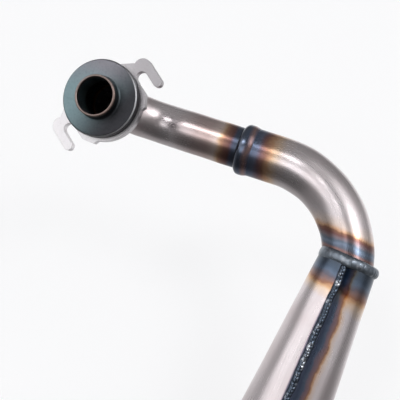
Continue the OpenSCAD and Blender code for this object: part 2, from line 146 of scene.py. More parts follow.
class Shader:
    """A material's or the world's node tree, and the one method that adds nodes to it."""

    def __init__(self, tree: bpy.types.NodeTree) -> None:
        """Empties a node tree.

        Args:
            tree: the tree to build in.
        """
        self.tree = tree
        tree.nodes.clear()

    def add(self, kind: str, settings: dict, inputs: dict, output: Optional[str] = None) -> Signal:
        """Adds a node of any type.

        Args:
            kind: the node's type.
            settings: properties that are set first; "stops" are a ramp's (place, colour) pairs.
            inputs: values or signals by socket name, or by number.
            output: name of the output socket, or None for the first that is enabled.

        Returns:
            The node's output.
        """
        node = self.tree.nodes.new(kind)
        for key, value in settings.items():
            if key == "stops":
                self._fill_ramp(node.color_ramp, value)
            else:
                setattr(node, key, value)
        for key, value in inputs.items():
            socket = self._find(node.inputs, key)
            if isinstance(value, Signal):
                self.tree.links.new(value.socket, socket)
            elif isinstance(value, tuple) and len(value) == 3 and len(socket.default_value) == 4:
                socket.default_value = (*value, 1.0)
            else:
                socket.default_value = value
        if not node.outputs:
            return Signal(self, None)
        found = self._find(node.outputs, 0 if output is None else output)
        return Signal(self, found)

    @staticmethod
    def _find(sockets: Sequence, key: Union[int, str]) -> bpy.types.NodeSocket:
        """The enabled socket of that name or number."""
        enabled = [s for s in sockets if s.enabled]
        return enabled[key] if isinstance(key, int) else next(s for s in enabled if s.name == key)

    @staticmethod
    def _fill_ramp(ramp: bpy.types.ColorRamp, stops: Sequence[tuple[float, Colour]]) -> None:
        """Gives a colour ramp its stops."""
        while len(ramp.elements) < len(stops):
            ramp.elements.new(0.5)
        for element, (place, colour) in zip(ramp.elements, stops):
            element.position = place
            element.color = (*colour, 1.0)

    def trace(self, name: Trace) -> Signal:
        """One of the piece's own attributes."""
        settings = {"attribute_name": name.value}
        return self.add("ShaderNodeAttribute", settings, {}, "Fac")

    def place(self) -> Signal:
        """Object coordinates, in metres."""
        return self.add("ShaderNodeTexCoord", {}, {}, "Object")

    def axis(self, name: str) -> Signal:
        """The object coordinate X, Y or Z, in metres."""
        return self.add("ShaderNodeSeparateXYZ", {}, {"Vector": self.place()}, name)

    def noise(self, vector: Signal, scale: float, detail: float = 3.0) -> Signal:
        """Noise about 0.

        Args:
            vector: where it is read.
            scale: grains per unit of the vector.
            detail: octaves.

        Returns:
            Noise from about -0.5 to 0.5.
        """
        inputs = {"Vector": vector, "Scale": scale, "Detail": detail}
        return self.add("ShaderNodeTexNoise", {}, inputs, "Fac") - 0.5

    def stretched(self, x: Number, y: Number, z: Number) -> Signal:
        """A vector of three values."""
        return self.add("ShaderNodeCombineXYZ", {}, {"X": x, "Y": y, "Z": z})

    def ramp(self, value: Signal, stops: Sequence[tuple[float, Colour]]) -> Signal:
        """Colour by value, with the stops in the value's own unit."""
        low, span = stops[0][0], stops[-1][0] - stops[0][0]
        shares = [((place - low) / span, colour) for place, colour in stops]
        inputs = {"Fac": (value - low) / span}
        return self.add("ShaderNodeValToRGB", {"stops": shares}, inputs, "Color")

    def mix(self, blend: str, factor: Number, a: Tone, b: Tone) -> Signal:
        """Blends two colours.

        Args:
            blend: the blend mode, such as MIX or MULTIPLY.
            factor: share of the second.
            a: first colour.
            b: second colour.

        Returns:
            The blended colour.
        """
        settings = {"data_type": "RGBA", "blend_type": blend}
        return self.add("ShaderNodeMix", settings, {"Factor": factor, "A": a, "B": b})

    def bump(self, height: Signal, distance: float, strength: float = 1.0) -> Signal:
        """Normal bent by a height, with the distance in metres."""
        inputs = {"Height": height, "Distance": distance, "Strength": strength}
        return self.add("ShaderNodeBump", {}, inputs)

    def surface(self, inputs: dict) -> None:
        """Ends the material in one Principled shader.

        Args:
            inputs: its sockets' values or signals.
        """
        self.end(self.add("ShaderNodeBsdfPrincipled", {}, inputs))

    def metal(self, colour: Signal, rough: Signal, normal: Signal) -> None:
        """Ends the material in bare metal of this colour, roughness and normal."""
        self.surface({"Base Color": colour, "Metallic": 1.0, "Roughness": rough, "Normal": normal})

    def end(self, shader: Signal) -> None:
        """Joins a shader to the material's output."""
        self.add("ShaderNodeOutputMaterial", {}, {"Surface": shader})


def new_material(name: str) -> tuple[bpy.types.Material, Shader]:
    """A new material and the shader that fills it."""
    material = bpy.data.materials.new(name)
    material.use_nodes = True
    return material, Shader(material.node_tree)


def new_object(name: str, data: bpy.types.ID) -> bpy.types.Object:
    """A new object in the scene, at the origin."""
    item = bpy.data.objects.new(name, data)
    bpy.context.scene.collection.objects.link(item)
    return item


# Finishes


class Heat(Enum):
    """Colours that heat leaves beside a weld: (millimetres, multiple of the steel's own colour)."""

    HEADER = (
        (0.0, (0.11, 0.15, 0.20)), (2.6, (0.12, 0.16, 0.24)), (4.2, (0.18, 0.15, 0.19)),
        (5.5, (0.24, 0.14, 0.13)), (8.5, (0.38, 0.23, 0.18)), (10.5, (0.62, 0.40, 0.26)),
        (12.0, (0.92, 0.72, 0.50)), (14.5, (1.04, 0.96, 0.88)), (20.0, (0.84, 0.74, 0.70)),
        (30.0, (0.80, 0.72, 0.70)), (44.0, (1.0, 1.0, 1.0)),
    )
    COLLAR = (
        (0.0, (0.15, 0.18, 0.22)), (3.0, (0.17, 0.22, 0.29)), (5.0, (0.16, 0.22, 0.31)),
        (6.6, (0.32, 0.28, 0.32)), (8.2, (0.50, 0.36, 0.33)), (9.6, (0.34, 0.31, 0.38)),
        (11.0, (0.18, 0.24, 0.34)),
    )
    LEAD = (
        (0.0, (0.16, 0.22, 0.32)), (1.6, (0.22, 0.27, 0.38)), (3.0, (0.30, 0.20, 0.22)),
        (4.6, (0.46, 0.26, 0.19)), (6.2, (0.86, 0.56, 0.34)), (7.8, (1.05, 0.86, 0.62)),
        (10.0, (1.04, 0.99, 0.94)), (13.0, (1.0, 1.0, 1.0)),
    )
    BEND = (
        (0.0, (0.24, 0.20, 0.21)), (1.6, (0.36, 0.24, 0.22)), (3.2, (0.18, 0.23, 0.30)),
        (5.0, (0.25, 0.34, 0.45)), (6.6, (0.17, 0.24, 0.31)), (8.4, (0.30, 0.26, 0.28)),
        (10.4, (0.26, 0.15, 0.14)), (12.2, (0.36, 0.20, 0.14)), (13.4, (0.86, 0.58, 0.36)),
        (16.0, (1.06, 0.98, 0.88)), (22.0, (1.0, 1.0, 1.0)),
    )
    RING = (
        (0.0, (0.11, 0.15, 0.19)), (3.0, (0.13, 0.19, 0.26)), (5.0, (0.19, 0.27, 0.37)),
        (6.6, (0.22, 0.22, 0.26)), (8.0, (0.38, 0.28, 0.26)), (9.6, (0.46, 0.26, 0.17)),
        (11.0, (0.90, 0.62, 0.36)), (12.6, (1.06, 0.92, 0.72)), (16.0, (1.0, 1.0, 1.0)),
    )
    SEAM = (
        (-3.6, (1.0, 1.0, 1.0)), (-2.8, (0.94, 0.90, 0.92)), (-2.4, (0.50, 0.47, 0.54)),
        (-2.0, (0.14, 0.16, 0.22)), (3.6, (0.10, 0.14, 0.21)), (5.2, (0.15, 0.21, 0.30)),
        (6.2, (0.26, 0.23, 0.28)), (7.6, (0.36, 0.26, 0.27)), (8.6, (0.44, 0.27, 0.20)),
        (9.4, (0.86, 0.58, 0.36)), (10.4, (1.04, 0.92, 0.78)), (13.0, (1.0, 1.0, 1.0)),
    )


@dataclass(frozen=True)
class Tint:
    """One weld's tints on a piece.

    Attributes:
        trace: the attribute that holds the distance to the weld.
        heat: the colours.
        reach: how far they reach, as a multiple.
    """

    trace: Trace
    heat: Heat
    reach: float = 1.0


@dataclass(frozen=True)
class Finish:
    """A finish that some pieces share.

    Attributes:
        name: the material's name.
    """

    name: str

    def build(self) -> bpy.types.Material:
        """The finish as a material."""
        material, shader = new_material(self.name)
        self.shade(shader)
        return material

    def shade(self, shader: Shader) -> None:
        """Adds the finish's own nodes."""
        raise NotImplementedError


@dataclass(frozen=True)
class RolledSteel(Finish):
    """Bare rolled or drawn steel, tinted beside its welds.

    Attributes:
        tints: the tints of its welds.
        colour: colour of the clean steel.
        rough: roughness of the clean steel.
        smoke_and_shade: strength of the brown bloom over the clean steel.
        bloom: tone of the bloom.
        streak: tone of the drawing lines.
        settle: distance from a weld at which its tints waver fully, in millimetres.
    """

    tints: tuple[Tint, ...] = ()
    colour: Colour = (0.61, 0.56, 0.575)
    rough: float = 0.29
    smoke_and_shade: float = 0.35
    bloom: Colour = (0.74, 0.60, 0.55)
    streak: Colour = (0.80, 0.80, 0.82)
    settle: float = 5.0

    def shade(self, shader: Shader) -> None:
        """Tints by distance to each weld, wavered by noise, over steel with drawing lines."""
        place = shader.place()
        waver = shader.noise(place, 80.0, 2.0) * 4.2 + shader.noise(place, 420.0, 2.0) * 1.3
        blotch, grain = shader.noise(place, 38.0, 3.0), shader.noise(place, 900.0, 2.0)
        along, around = shader.trace(Trace.ALONG), shader.trace(Trace.ROUND)
        lines = shader.noise(shader.stretched(along * 0.05, around * 1.4, 0.0), 1.0, 4.0)
        smoke_and_shade = (blotch * 1.6 + 0.3).between(0.0, 1.0) * self.smoke_and_shade
        colour = shader.mix("MULTIPLY", smoke_and_shade, self.colour, self.bloom)
        colour = shader.mix("MULTIPLY", (lines * 2.0).between(-0.4, 1.0) * 0.5, colour, self.streak)
        for tint in self.tints:
            gap = shader.trace(tint.trace) / tint.reach
            gap = gap + waver * gap.between(0.0, self.settle)
            colour = shader.mix("MULTIPLY", 1.0, colour, shader.ramp(gap, tint.heat.value))
        normal = shader.bump(lines * 0.6 + grain * 0.4, 0.00004, 0.6)
        shader.metal(colour, lines * 0.14 + blotch * 0.10 + self.rough, normal)


@dataclass(frozen=True)
class TurnedSteel(Finish):
    """Turned steel, blued by heat, with fine rings round the spigot's axis.

    Attributes:
        blue: its tone on the row's -Y side.
        purple: its tone on the +Y side.
        painted_shade: tone of the painted shade towards the +X side.
        copper: tone of the stub's rim.
        bright: painted highlight on the ring's chamfer, on the side with the painted shade.
        rim: heights over which the copper grows, in millimetres.
        foot: heights over which the chamfer's tone grows.
        top: heights over which the chamfer's tone ends.
        drift: how far the blotches move the tones' edges, in metres.
    """

    blue: Colour = (0.18, 0.25, 0.27)
    purple: Colour = (0.21, 0.195, 0.22)
    painted_shade: Colour = (0.038, 0.038, 0.043)
    copper: Colour = (0.30, 0.22, 0.195)
    bright: Colour = (0.50, 0.50, 0.52)
    rim: tuple[float, float] = (5.0, 7.4)
    foot: tuple[float, float] = (-1.0, -0.7)
    top: tuple[float, float] = (-0.25, -0.02)
    drift: float = 0.012

    def shade(self, shader: Shader) -> None:
        """Tones by side and height, moved by blotches, with the tool's rings in the bump."""
        place = shader.place()
        cloud, fine = shader.noise(place, 46.0, 4.0), shader.noise(place, 700.0, 3.0)
        east, north = shader.axis("X") + cloud * self.drift, shader.axis("Y") + cloud * self.drift
        height = shader.trace(Trace.START)
        # Painted shade: the ring's colour darkens towards +X and -Y.
        shade = (east - north * 0.6).between(-0.014, 0.020)
        chamfer = height.between(*self.foot) * (1.0 - height.between(*self.top))
        colour = shader.mix("MIX", north.between(0.0, 0.022) * 0.9, self.blue, self.purple)
        colour = shader.mix("MIX", shade, colour, self.painted_shade)
        colour = shader.mix("MIX", height.between(*self.rim) * 0.8, colour, self.copper)
        # Painted highlight: a light line on the chamfer where the ring is shaded.
        colour = shader.mix("MIX", chamfer * shade, colour, self.bright)
        colour = shader.mix("MULTIPLY", (fine * 2.0).between(-0.2, 1.0), colour, (0.74, 0.80, 0.82))
        rings = shader.noise(shader.stretched(shader.trace(Trace.ROUND) * 4.0, 0.0, 0.0), 1.0, 2.0)
        normal = shader.bump(rings * 0.7 + fine * 0.5, 0.00006, 0.7)
        shader.metal(colour, fine * 0.14 + rings * 0.10 + 0.42, normal)


@dataclass(frozen=True)
class SatinMetal(Finish):
    """Satin metal with a fine grain: plate, sheet or zinc.

    Attributes:
        colour: its colour.
        rough: its roughness.
        speck: strength of the specks.
        grain: grains per metre.
        bump: depth of the grain, in metres.
        fade: strength of the painted shade that grows towards the row's +X side.
        painted_shade_ramp: where the painted shade starts and where it is full, along X + 0.6 Y, in metres.
        smoke_and_shade: tone of the painted shade.
    """

    colour: Colour
    rough: float = 0.4
    speck: float = 0.3
    grain: float = 1400.0
    bump: float = 0.00005
    fade: float = 0.0
    painted_shade_ramp: tuple[float, float] = (-0.004, 0.036)
    smoke_and_shade: Colour = (0.40, 0.39, 0.40)

    def shade(self, shader: Shader) -> None:
        """Fine specks over soft clouds, under the painted shade that grows towards +X and +Y."""
        place = shader.place()
        fine, cloud = shader.noise(place, self.grain, 4.0), shader.noise(place, 60.0, 3.0)
        specks = (fine * 2.4).between(0.0, 1.0) * self.speck
        colour = shader.mix("MULTIPLY", specks, self.colour, (0.55, 0.53, 0.55))
        colour = shader.mix("MULTIPLY", (cloud * 2.0).between(0.0, 1.0) * 0.3, colour, (0.84, 0.82, 0.84))
        # Painted shade: the plate's colour darkens towards +X and +Y.
        painted_shade_ramp = (shader.axis("X") + shader.axis("Y") * 0.6).between(*self.painted_shade_ramp) * self.fade
        colour = shader.mix("MULTIPLY", painted_shade_ramp, colour, self.smoke_and_shade)
        shader.metal(colour, fine * 0.2 + cloud * 0.1 + self.rough, shader.bump(fine, self.bump, 0.6))


@dataclass(frozen=True)
class BrushedMetal(Finish):
    """Metal brushed round its axis, such as the silencer's shell and caps.

    Attributes:
        colour: its colour.
        rough: its roughness.
    """

    colour: Colour
    rough: float = 0.3

    def shade(self, shader: Shader) -> None:
        """Long fine lines round the axis, with faint clouds."""
        along, around = shader.trace(Trace.ALONG), shader.trace(Trace.ROUND)
        lines = shader.noise(shader.stretched(along * 3.2, around * 0.06, 0.0), 1.0, 5.0)
        cloud = shader.noise(shader.place(), 45.0, 3.0)
        colour = shader.mix("MULTIPLY", (lines * 2.0).between(-0.3, 1.0), self.colour, (0.78, 0.78, 0.79))
        shader.metal(colour, lines * 0.22 + cloud * 0.08 + self.rough, shader.bump(lines, 0.00004, 0.7))


@dataclass(frozen=True)
class WeldMetal(Finish):
    """Weld metal under a dark blue-grey oxide, with glints on its crests.

    Attributes:
        colour: colour of the oxide.
        glint: colour of the clean crests.
        rough: its roughness.
    """

    colour: Colour = (0.17, 0.195, 0.23)
    glint: Colour = (0.32, 0.34, 0.38)
    rough: float = 0.33

    def shade(self, shader: Shader) -> None:
        """Oxide with brighter patches."""
        place = shader.place()
        patch, fine = shader.noise(place, 240.0, 2.0), shader.noise(place, 1500.0, 2.0)
        colour = shader.mix("MIX", (patch + fine * 0.3).between(0.04, 0.26), self.colour, self.glint)
        shader.metal(colour, patch * 0.16 + self.rough, shader.bump(patch * 0.7 + fine * 0.3, 0.00010, 0.7))


@dataclass(frozen=True)
class GlassWool(Finish):
    """Matted yellow glass fibre.

    Attributes:
        colour: its colour.
    """

    colour: Colour = (0.85, 0.79, 0.60)

    def shade(self, shader: Shader) -> None:
        """Matted fibres in colour and bump."""
        fibres = shader.noise(shader.place(), 900.0, 6.0)
        colour = shader.mix("MULTIPLY", (fibres * 2.0).between(-0.4, 0.8), self.colour, (0.72, 0.68, 0.60))
        shader.surface({"Base Color": colour, "Roughness": 0.95, "Normal": shader.bump(fibres, 0.0006, 0.9)})


class Finishes:
    """Builds each finish once and hands out its material."""

    def __init__(self) -> None:
        """Starts with none built."""
        self._made: dict[Finish, bpy.types.Material] = {}

    def material(self, finish: Finish) -> bpy.types.Material:
        """The material of a finish."""
        if finish not in self._made:
            self._made[finish] = finish.build()
        return self._made[finish]


# Places and surfaces


def turn(axis: str, degrees: float) -> np.ndarray:
    """Rotation matrix about a row axis."""
    return np.array(Matrix.Rotation(math.radians(degrees), 3, axis))


@dataclass(frozen=True)
class Place:
    """A local frame: its origin, in millimetres, and its axes as columns."""

    origin: np.ndarray
    axes: np.ndarray

    def point(self, x: np.ndarray, y: np.ndarray, z: np.ndarray) -> np.ndarray:
        """Local coordinates as points of the row, in millimetres."""
        local = np.stack(np.broadcast_arrays(x, y, z), axis=-1).astype(float)
        return local @ self.axes.T + self.origin

    def shifted(self, x: float, y: float, z: float) -> "Place":
        """The same axes with the origin moved along them."""
        return Place(self.point(x, y, z), self.axes)

    def turned(self, axis: str, degrees: float) -> "Place":
        """The same origin with the axes turned about one of their own."""
        return Place(self.origin, self.axes @ turn(axis, degrees))


def angles(count: int) -> np.ndarray:
    """Equal angles round a full turn, without the last."""
    return np.linspace(0.0, 2.0 * np.pi, count, endpoint=False)


def waves(at: np.ndarray, *terms: tuple[float, float, float]) -> np.ndarray:
    """Sum of height * sin(rate * at + phase) over the terms (height, rate, phase)."""
    return sum(height * np.sin(at * rate + phase) for height, rate, phase in terms)


def rounded(profile: Sequence[tuple[float, float]], radius: float, steps: int = 4) -> np.ndarray:
    """Rounds a closed profile's corners.

    Each corner P becomes the curve (1-s)^2 A + 2 s (1-s) P + s^2 B between the points A and B on its
    two sides, with one more point on each side that keeps the flats flat when shaded.

    Args:
        profile: the corners.
        radius: how far from a corner the curve starts, at most a third of a side.
        steps: pieces of each curve.

    Returns:
        The points, as rows of two.
    """
    corner = np.array(profile, float)
    back, ahead = np.roll(corner, 1, 0) - corner, np.roll(corner, -1, 0) - corner
    back_len = np.linalg.norm(back, axis=1, keepdims=True)
    ahead_len = np.linalg.norm(ahead, axis=1, keepdims=True)
    reach = np.minimum(radius, np.minimum(back_len, ahead_len) / 3.0)
    start, end = corner + back / back_len * reach, corner + ahead / ahead_len * reach
    s = np.linspace(0.0, 1.0, steps + 1)[None, :, None]
    curve = (1 - s) ** 2 * start[:, None] + 2 * s * (1 - s) * corner[:, None] + s**2 * end[:, None]
    before = (corner + back / back_len * reach * 1.4)[:, None]
    after = (corner + ahead / ahead_len * reach * 1.4)[:, None]
    return np.concatenate([before, curve, after], axis=1).reshape(-1, 2)


@dataclass
class Surface:
    """A grid of points with its attributes.

    Attributes:
        points: rows x columns x 3, in millimetres.
        traces: values of each attribute on the grid.
        closed_rows: whether the last row joins the first.
        closed_columns: the same for the columns.
    """

    points: np.ndarray
    traces: dict[Trace, np.ndarray] = field(default_factory=dict)
    closed_rows: bool = True
    closed_columns: bool = True

    def faces(self) -> np.ndarray:
        """The grid's four-sided faces, as rows of vertex numbers."""
        rows, columns = self.points.shape[:2]
        i = np.arange(rows if self.closed_rows else rows - 1)
        j = np.arange(columns if self.closed_columns else columns - 1)
        i, j = np.meshgrid(i, j, indexing="ij")
        here, ahead = i * columns, (i + 1) % rows * columns
        j2 = (j + 1) % columns
        return np.stack([here + j, here + j2, ahead + j2, ahead + j], -1).reshape(-1, 4)

    def past_welds(self, start: float = 0.0, end: float = 0.0) -> "Surface":
        """Starts the distances from the ends at the edges of the welds there.

        Args:
            start: how much of the start lies in or under its weld.
            end: the same for the end.

        Returns:
            The surface itself.
        """
        self.traces[Trace.START] = self.traces[Trace.START] - start
        self.traces[Trace.END] = self.traces[Trace.END] - end
        return self


class Workshop:
    """Makes objects from surfaces or CAD nodes, dresses them and puts them on the frame."""

    def __init__(self) -> None:
        """Opens with an empty store of finishes."""
        self.finishes = Finishes()

    def make(self, name: str, surfaces: Sequence[Surface], finish: Finish, slot: Slot,
             *nodes: str) -> bpy.types.Object:
        """Makes one object from closed surfaces.

        Args:
            name: the piece's name.
            surfaces: its closed surfaces.
            finish: its finish.
            slot: the record's slot; not used.
            nodes: CAD nodes that it stands for.

        Returns:
            The object.
        """
        counts = np.cumsum([0] + [s.points.shape[0] * s.points.shape[1] for s in surfaces])
        points = np.concatenate([s.points.reshape(-1, 3) for s in surfaces]) * MM
        faces = np.concatenate([s.faces() + start for s, start in zip(surfaces, counts)])
        mesh = bpy.data.meshes.new(name)
        mesh.from_pydata(points, [], faces)
        for trace in surfaces[0].traces:
            spread = [np.broadcast_to(s.traces[trace], s.points.shape[:2]).ravel() for s in surfaces]
            layer = mesh.attributes.new(trace.value, "FLOAT", "POINT")
            layer.data.foreach_set("value", np.concatenate(spread).astype(np.float32))
        self._close(mesh)
        mesh.shade_smooth()
        mesh.set_sharp_from_angle(angle=math.radians(SMOOTH_ANGLE))
        return self._dress(new_object(name, mesh), finish, nodes)

    def soften(self, name: str, node: str, bevel: float, finish: Finish) -> bpy.types.Object:
        """Makes a copy of a CAD node with its edges broken by a small bevel.

        Args:
            name: the piece's name.
            node: the CAD node.
            bevel: width of the bevel.
            finish: its finish.

        Returns:
            The object.
        """
        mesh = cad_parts[node].data.copy()
        mesh.name = name
        shell = bmesh.new()
        shell.from_mesh(mesh)
        bmesh.ops.remove_doubles(shell, verts=shell.verts, dist=1e-6)
        flat = math.radians(CAD_FLAT_ANGLE)
        bmesh.ops.dissolve_limit(shell, angle_limit=flat, verts=shell.verts, edges=shell.edges)
        shell.to_mesh(mesh)
        shell.free()
        if mesh.has_custom_normals:
            mesh.attributes.remove(mesh.attributes["custom_normal"])
        mesh.shade_smooth()
        mesh.set_sharp_from_angle(angle=math.radians(CAD_SHARP_ANGLE))
        piece = new_object(name, mesh)
        edge = piece.modifiers.new("Edge", "BEVEL")
        edge.width = bevel * MM
        edge.segments = 3
        edge.limit_method = "ANGLE"
        edge.angle_limit = math.radians(BEVEL_ANGLE)
        edge.harden_normals = True
        return self._dress(piece, finish, (node,))

    def keep(self, node: str, finish: Finish) -> None:
        """Gives a CAD node that stays its finish."""
        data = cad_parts[node].data
        data.materials.clear()
        data.materials.append(self.finishes.material(finish))
        LOG.info("kept %s", node)

    def _dress(self, piece: bpy.types.Object, finish: Finish,
               nodes: Sequence[str]) -> bpy.types.Object:
        """Gives a piece its finish and puts it on the frame."""
        piece.data.materials.clear()
        piece.data.materials.append(self.finishes.material(finish))
        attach(piece, "root")
        if nodes:
            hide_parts(*nodes)
        LOG.info("made %s: %d faces", piece.name, len(piece.data.polygons))
        return piece

    @staticmethod
    def _close(mesh: bpy.types.Mesh) -> None:
        """Merges poles, and turns the faces outwards if the volume comes out negative."""
        shell = bmesh.new()
        shell.from_mesh(mesh)
        bmesh.ops.remove_doubles(shell, verts=shell.verts, dist=1e-7)
        if shell.calc_volume(signed=True) < 0.0:
            bmesh.ops.reverse_faces(shell, faces=shell.faces)
        shell.to_mesh(mesh)
        shell.free()


def lathe(place: Place, profile: np.ndarray, columns: int = 128) -> Surface:
    """A closed profile turned about the local Z axis: (r cos a, r sin a, z).

    Args:
        place: the local frame.
        profile: rows of radius and height.
        columns: points round the turn.

    Returns:
        The surface, with its height and its arc.
    """
    a = angles(columns)[None, :]
    r, z = profile[:, :1], profile[:, 1:]
    points = place.point(r * np.cos(a), r * np.sin(a), z)
    across = np.cumsum(np.r_[0.0, np.hypot(*np.diff(profile, axis=0).T)])[:, None]
    traces = {Trace.ALONG: across, Trace.ROUND: r * np.abs(a - np.pi)}
    return Surface(points, traces)


@dataclass(frozen=True)
class Run:
    """A straight or bent stretch of a tube's centreline, in the local X-Z plane.

    Attributes:
        length: length of a straight, or radius of a bend.
        angle: angle of a bend towards local +X, negative for -X, or 0 for a straight.
    """

    length: float
    angle: float = 0.0


def centreline(runs: Sequence[Run], spacing: float = 2.0) -> tuple[np.ndarray, np.ndarray, np.ndarray]:
    """Follows straights and bends from the local origin along +Z.

    The heading h grows evenly along a bend, and the place is the running sum of (sin h, cos h) steps.

    Args:
        runs: the stretches.
        spacing: distance between stations.

    Returns:
        The stations' x and z, their headings and their distances along the line, as (K, 2), (K,), (K,).
    """
    x, z, heading, along = [np.zeros(1)], [np.zeros(1)], [np.zeros(1)], [np.zeros(1)]
    for run in runs:
        x0, z0, h0, s0 = x[-1][-1], z[-1][-1], heading[-1][-1], along[-1][-1]
        if run.angle == 0.0:
            t = np.linspace(0.0, run.length, max(2, int(run.length / spacing)) + 1)[1:]
            x.append(x0 + t * math.sin(h0))
            z.append(z0 + t * math.cos(h0))
            heading.append(np.full(t.shape, h0))
        else:
            sweep = math.radians(run.angle)
            arc = run.length * abs(sweep)
            t = np.linspace(0.0, arc, max(4, int(arc / spacing)) + 1)[1:]
            h = h0 + sweep * t / arc
            side = math.copysign(run.length, sweep)
            x.append(x0 + side * (math.cos(h0) - np.cos(h)))
            z.append(z0 + side * (np.sin(h) - math.sin(h0)))
            heading.append(h)
        along.append(s0 + t)
    line = np.stack([np.concatenate(x), np.concatenate(z)], axis=1)
    return line, np.concatenate(heading), np.concatenate(along)


def swept_tube(place: Place, runs: Sequence[Run], radius: float, wall: float, columns: int = 128) -> Surface:
    """A tube swept along a centreline: centre + r (cos a e1 + sin a e2).

    The rows run out along the outside and back inside. Faint waves, which fade out towards both ends, vary r
    along the line.

    Args:
        place: the local frame of the line's start.
        runs: the line's stretches.
        radius: outer radius.
        wall: thickness.
        columns: points round the tube.

    Returns:
        The surface, with its distances from both ends.
    """
    line, heading, along = centreline(runs)
    total = along[-1]
    stations = len(along)
    order = np.r_[np.arange(stations), np.arange(stations)[::-1]]
    line, heading, along = line[order], heading[order], along[order]
    fade = np.clip(np.minimum(along, total - along) / 8.0, 0.0, 1.0)
    wave = waves(along, (0.06, 0.19, 0.0), (0.05, 0.31, 1.0)) * fade
    r = np.where(np.arange(2 * stations) < stations, radius, radius - wall) + wave
    a = angles(columns)[None, :]
    h = heading[:, None]
    out, side = r[:, None] * np.cos(a), r[:, None] * np.sin(a)
    x = line[:, :1] + out * np.cos(h)
    z = line[:, 1:] - out * np.sin(h)
    traces = {
        Trace.ALONG: along[:, None],
        Trace.ROUND: radius * np.abs(a - np.pi),
        Trace.START: along[:, None],
        Trace.END: total - along[:, None],
    }
    return Surface(place.point(x, side, z), traces)


# Welds


def ripple_height(along: np.ndarray, across: np.ndarray, pitch: float) -> np.ndarray:
    """Height of a weld's ripples, from 0 in a valley to 1 on a crest.

    Each ripple is sqrt(1 - 0.9 (2f - 1)^2), where f is the fraction of (along + 1.1 across^2) / pitch, so
    that the ripples are crescents with sharp valleys. Slow waves vary their pitch.

    Args:
        along: distance along the bead.
        across: place across it, from -1 to 1.
        pitch: distance between ripples.

    Returns:
        The height.
    """
    phase = (along + 1.1 * across**2) / pitch + waves(along, (0.35, 0.21, 0.0), (0.2, 0.53, 1.0))
    f = phase - np.floor(phase)
    return np.sqrt(1.0 - 0.9 * (2.0 * f - 1.0) ** 2)


@dataclass(frozen=True)
class Bead:
    """A weld bead's section and ripples.

    Attributes:
        width: its width.
        height: its height above the sheet.
        pitch: distance between ripples.
        depth: depth of the ripples.
        sway: how far it wanders sideways.
        sink: how far its edges lie under the sheet's skin.
        root: how far its root does.
    """

    width: float = 4.4
    height: float = 1.4
    pitch: float = 2.4
    depth: float = 0.42
    sway: float = 0.25
    sink: float = 0.25
    root: float = 0.7

    def section(self, along: np.ndarray, columns: int, fade: np.ndarray) -> tuple[np.ndarray, np.ndarray]:
        """Offsets of a closed bead section at each place along it.

        The crown is height (1 - u^2)^0.8 less the ripples' valleys, for u from -1 to 1, and comes back under
        the sheet. Slow waves vary its height and let it wander sideways.

        Args:
            along: places along the bead, as a column.
            columns: points over the crown.
            fade: share of the section that is left at each place, as a column.

        Returns:
            Sideways offset and height above the sheet, as rows x twice the columns.
        """
        u = np.linspace(-1.0, 1.0, columns)[None, :]
        ripple = ripple_height(along, u, self.pitch)
        lump = 1.0 + waves(along, (0.10, 0.37, 0.0), (0.07, 0.83, 2.0))
        crown = (self.height * lump - self.depth * (1.0 - ripple)) * np.maximum(1.0 - u**2, 0.0) ** 0.8
        wander = self.sway * waves(along, (1.0, 0.29, 0.6), (0.4, 0.91, 0.0))
        side = u * self.width / 2.0 * (0.94 + 0.08 * ripple) * fade + wander
        back = u[:, ::-1] * self.width / 2.0 * fade * 0.8 + wander
        over = (crown - self.sink) * fade
        under = np.broadcast_to(-self.root * fade, over.shape)
        return np.concatenate([side, back], 1), np.concatenate([over, under], 1)


def ring_bead(place: Place, radius: float, pitch: float) -> Surface:
    """A bead round a circle: (radius + h) (cos a, sin a) with the sideways offset along the axis.

    Args:
        place: frame of the circle, with its axis along local Z.
        radius: the sheet's outer radius there.
        pitch: distance between ripples, which is moved to the nearest that fits the circle.

    Returns:
        The surface.
    """
    length = 2.0 * np.pi * radius
    bead = Bead(pitch=length / round(length / pitch), sway=0.0)
    along = np.linspace(0.0, length, int(length / 0.32), endpoint=False)[:, None]
    side, height = bead.section(along, 15, np.ones_like(along))
    a = along / radius
    r = radius + height
    return Surface(place.point(r * np.cos(a), r * np.sin(a), side))


def seam_bead(place: Place, radius: Callable[[np.ndarray], np.ndarray], start: float, end: float,
              angle: float, bead: Bead) -> Surface:
    """A bead along a cone's side: at height z, offset w turns the point by w / r(z) from the seam's angle.

    Args:
        place: the cone's frame.
        radius: the cone's radius by height.
        start: height where the bead starts.
        end: height where it ends.
        angle: the seam's angle about the axis, in degrees.
        bead: the bead, whose ends are rounded off over 2.5 mm.

    Returns:
        The surface.
    """
    z = np.linspace(start, end, int((end - start) / 0.3))[:, None]
    rise = np.clip(np.minimum(z - start, end - z) / 2.5, 0.0, 1.0)
    side, height = bead.section(z, 19, np.sqrt(rise * (2.0 - rise)))
    a = math.radians(angle) + side / radius(z)
    r = radius(z) + height
    return Surface(place.point(r * np.cos(a), r * np.sin(a), z), closed_rows=False)


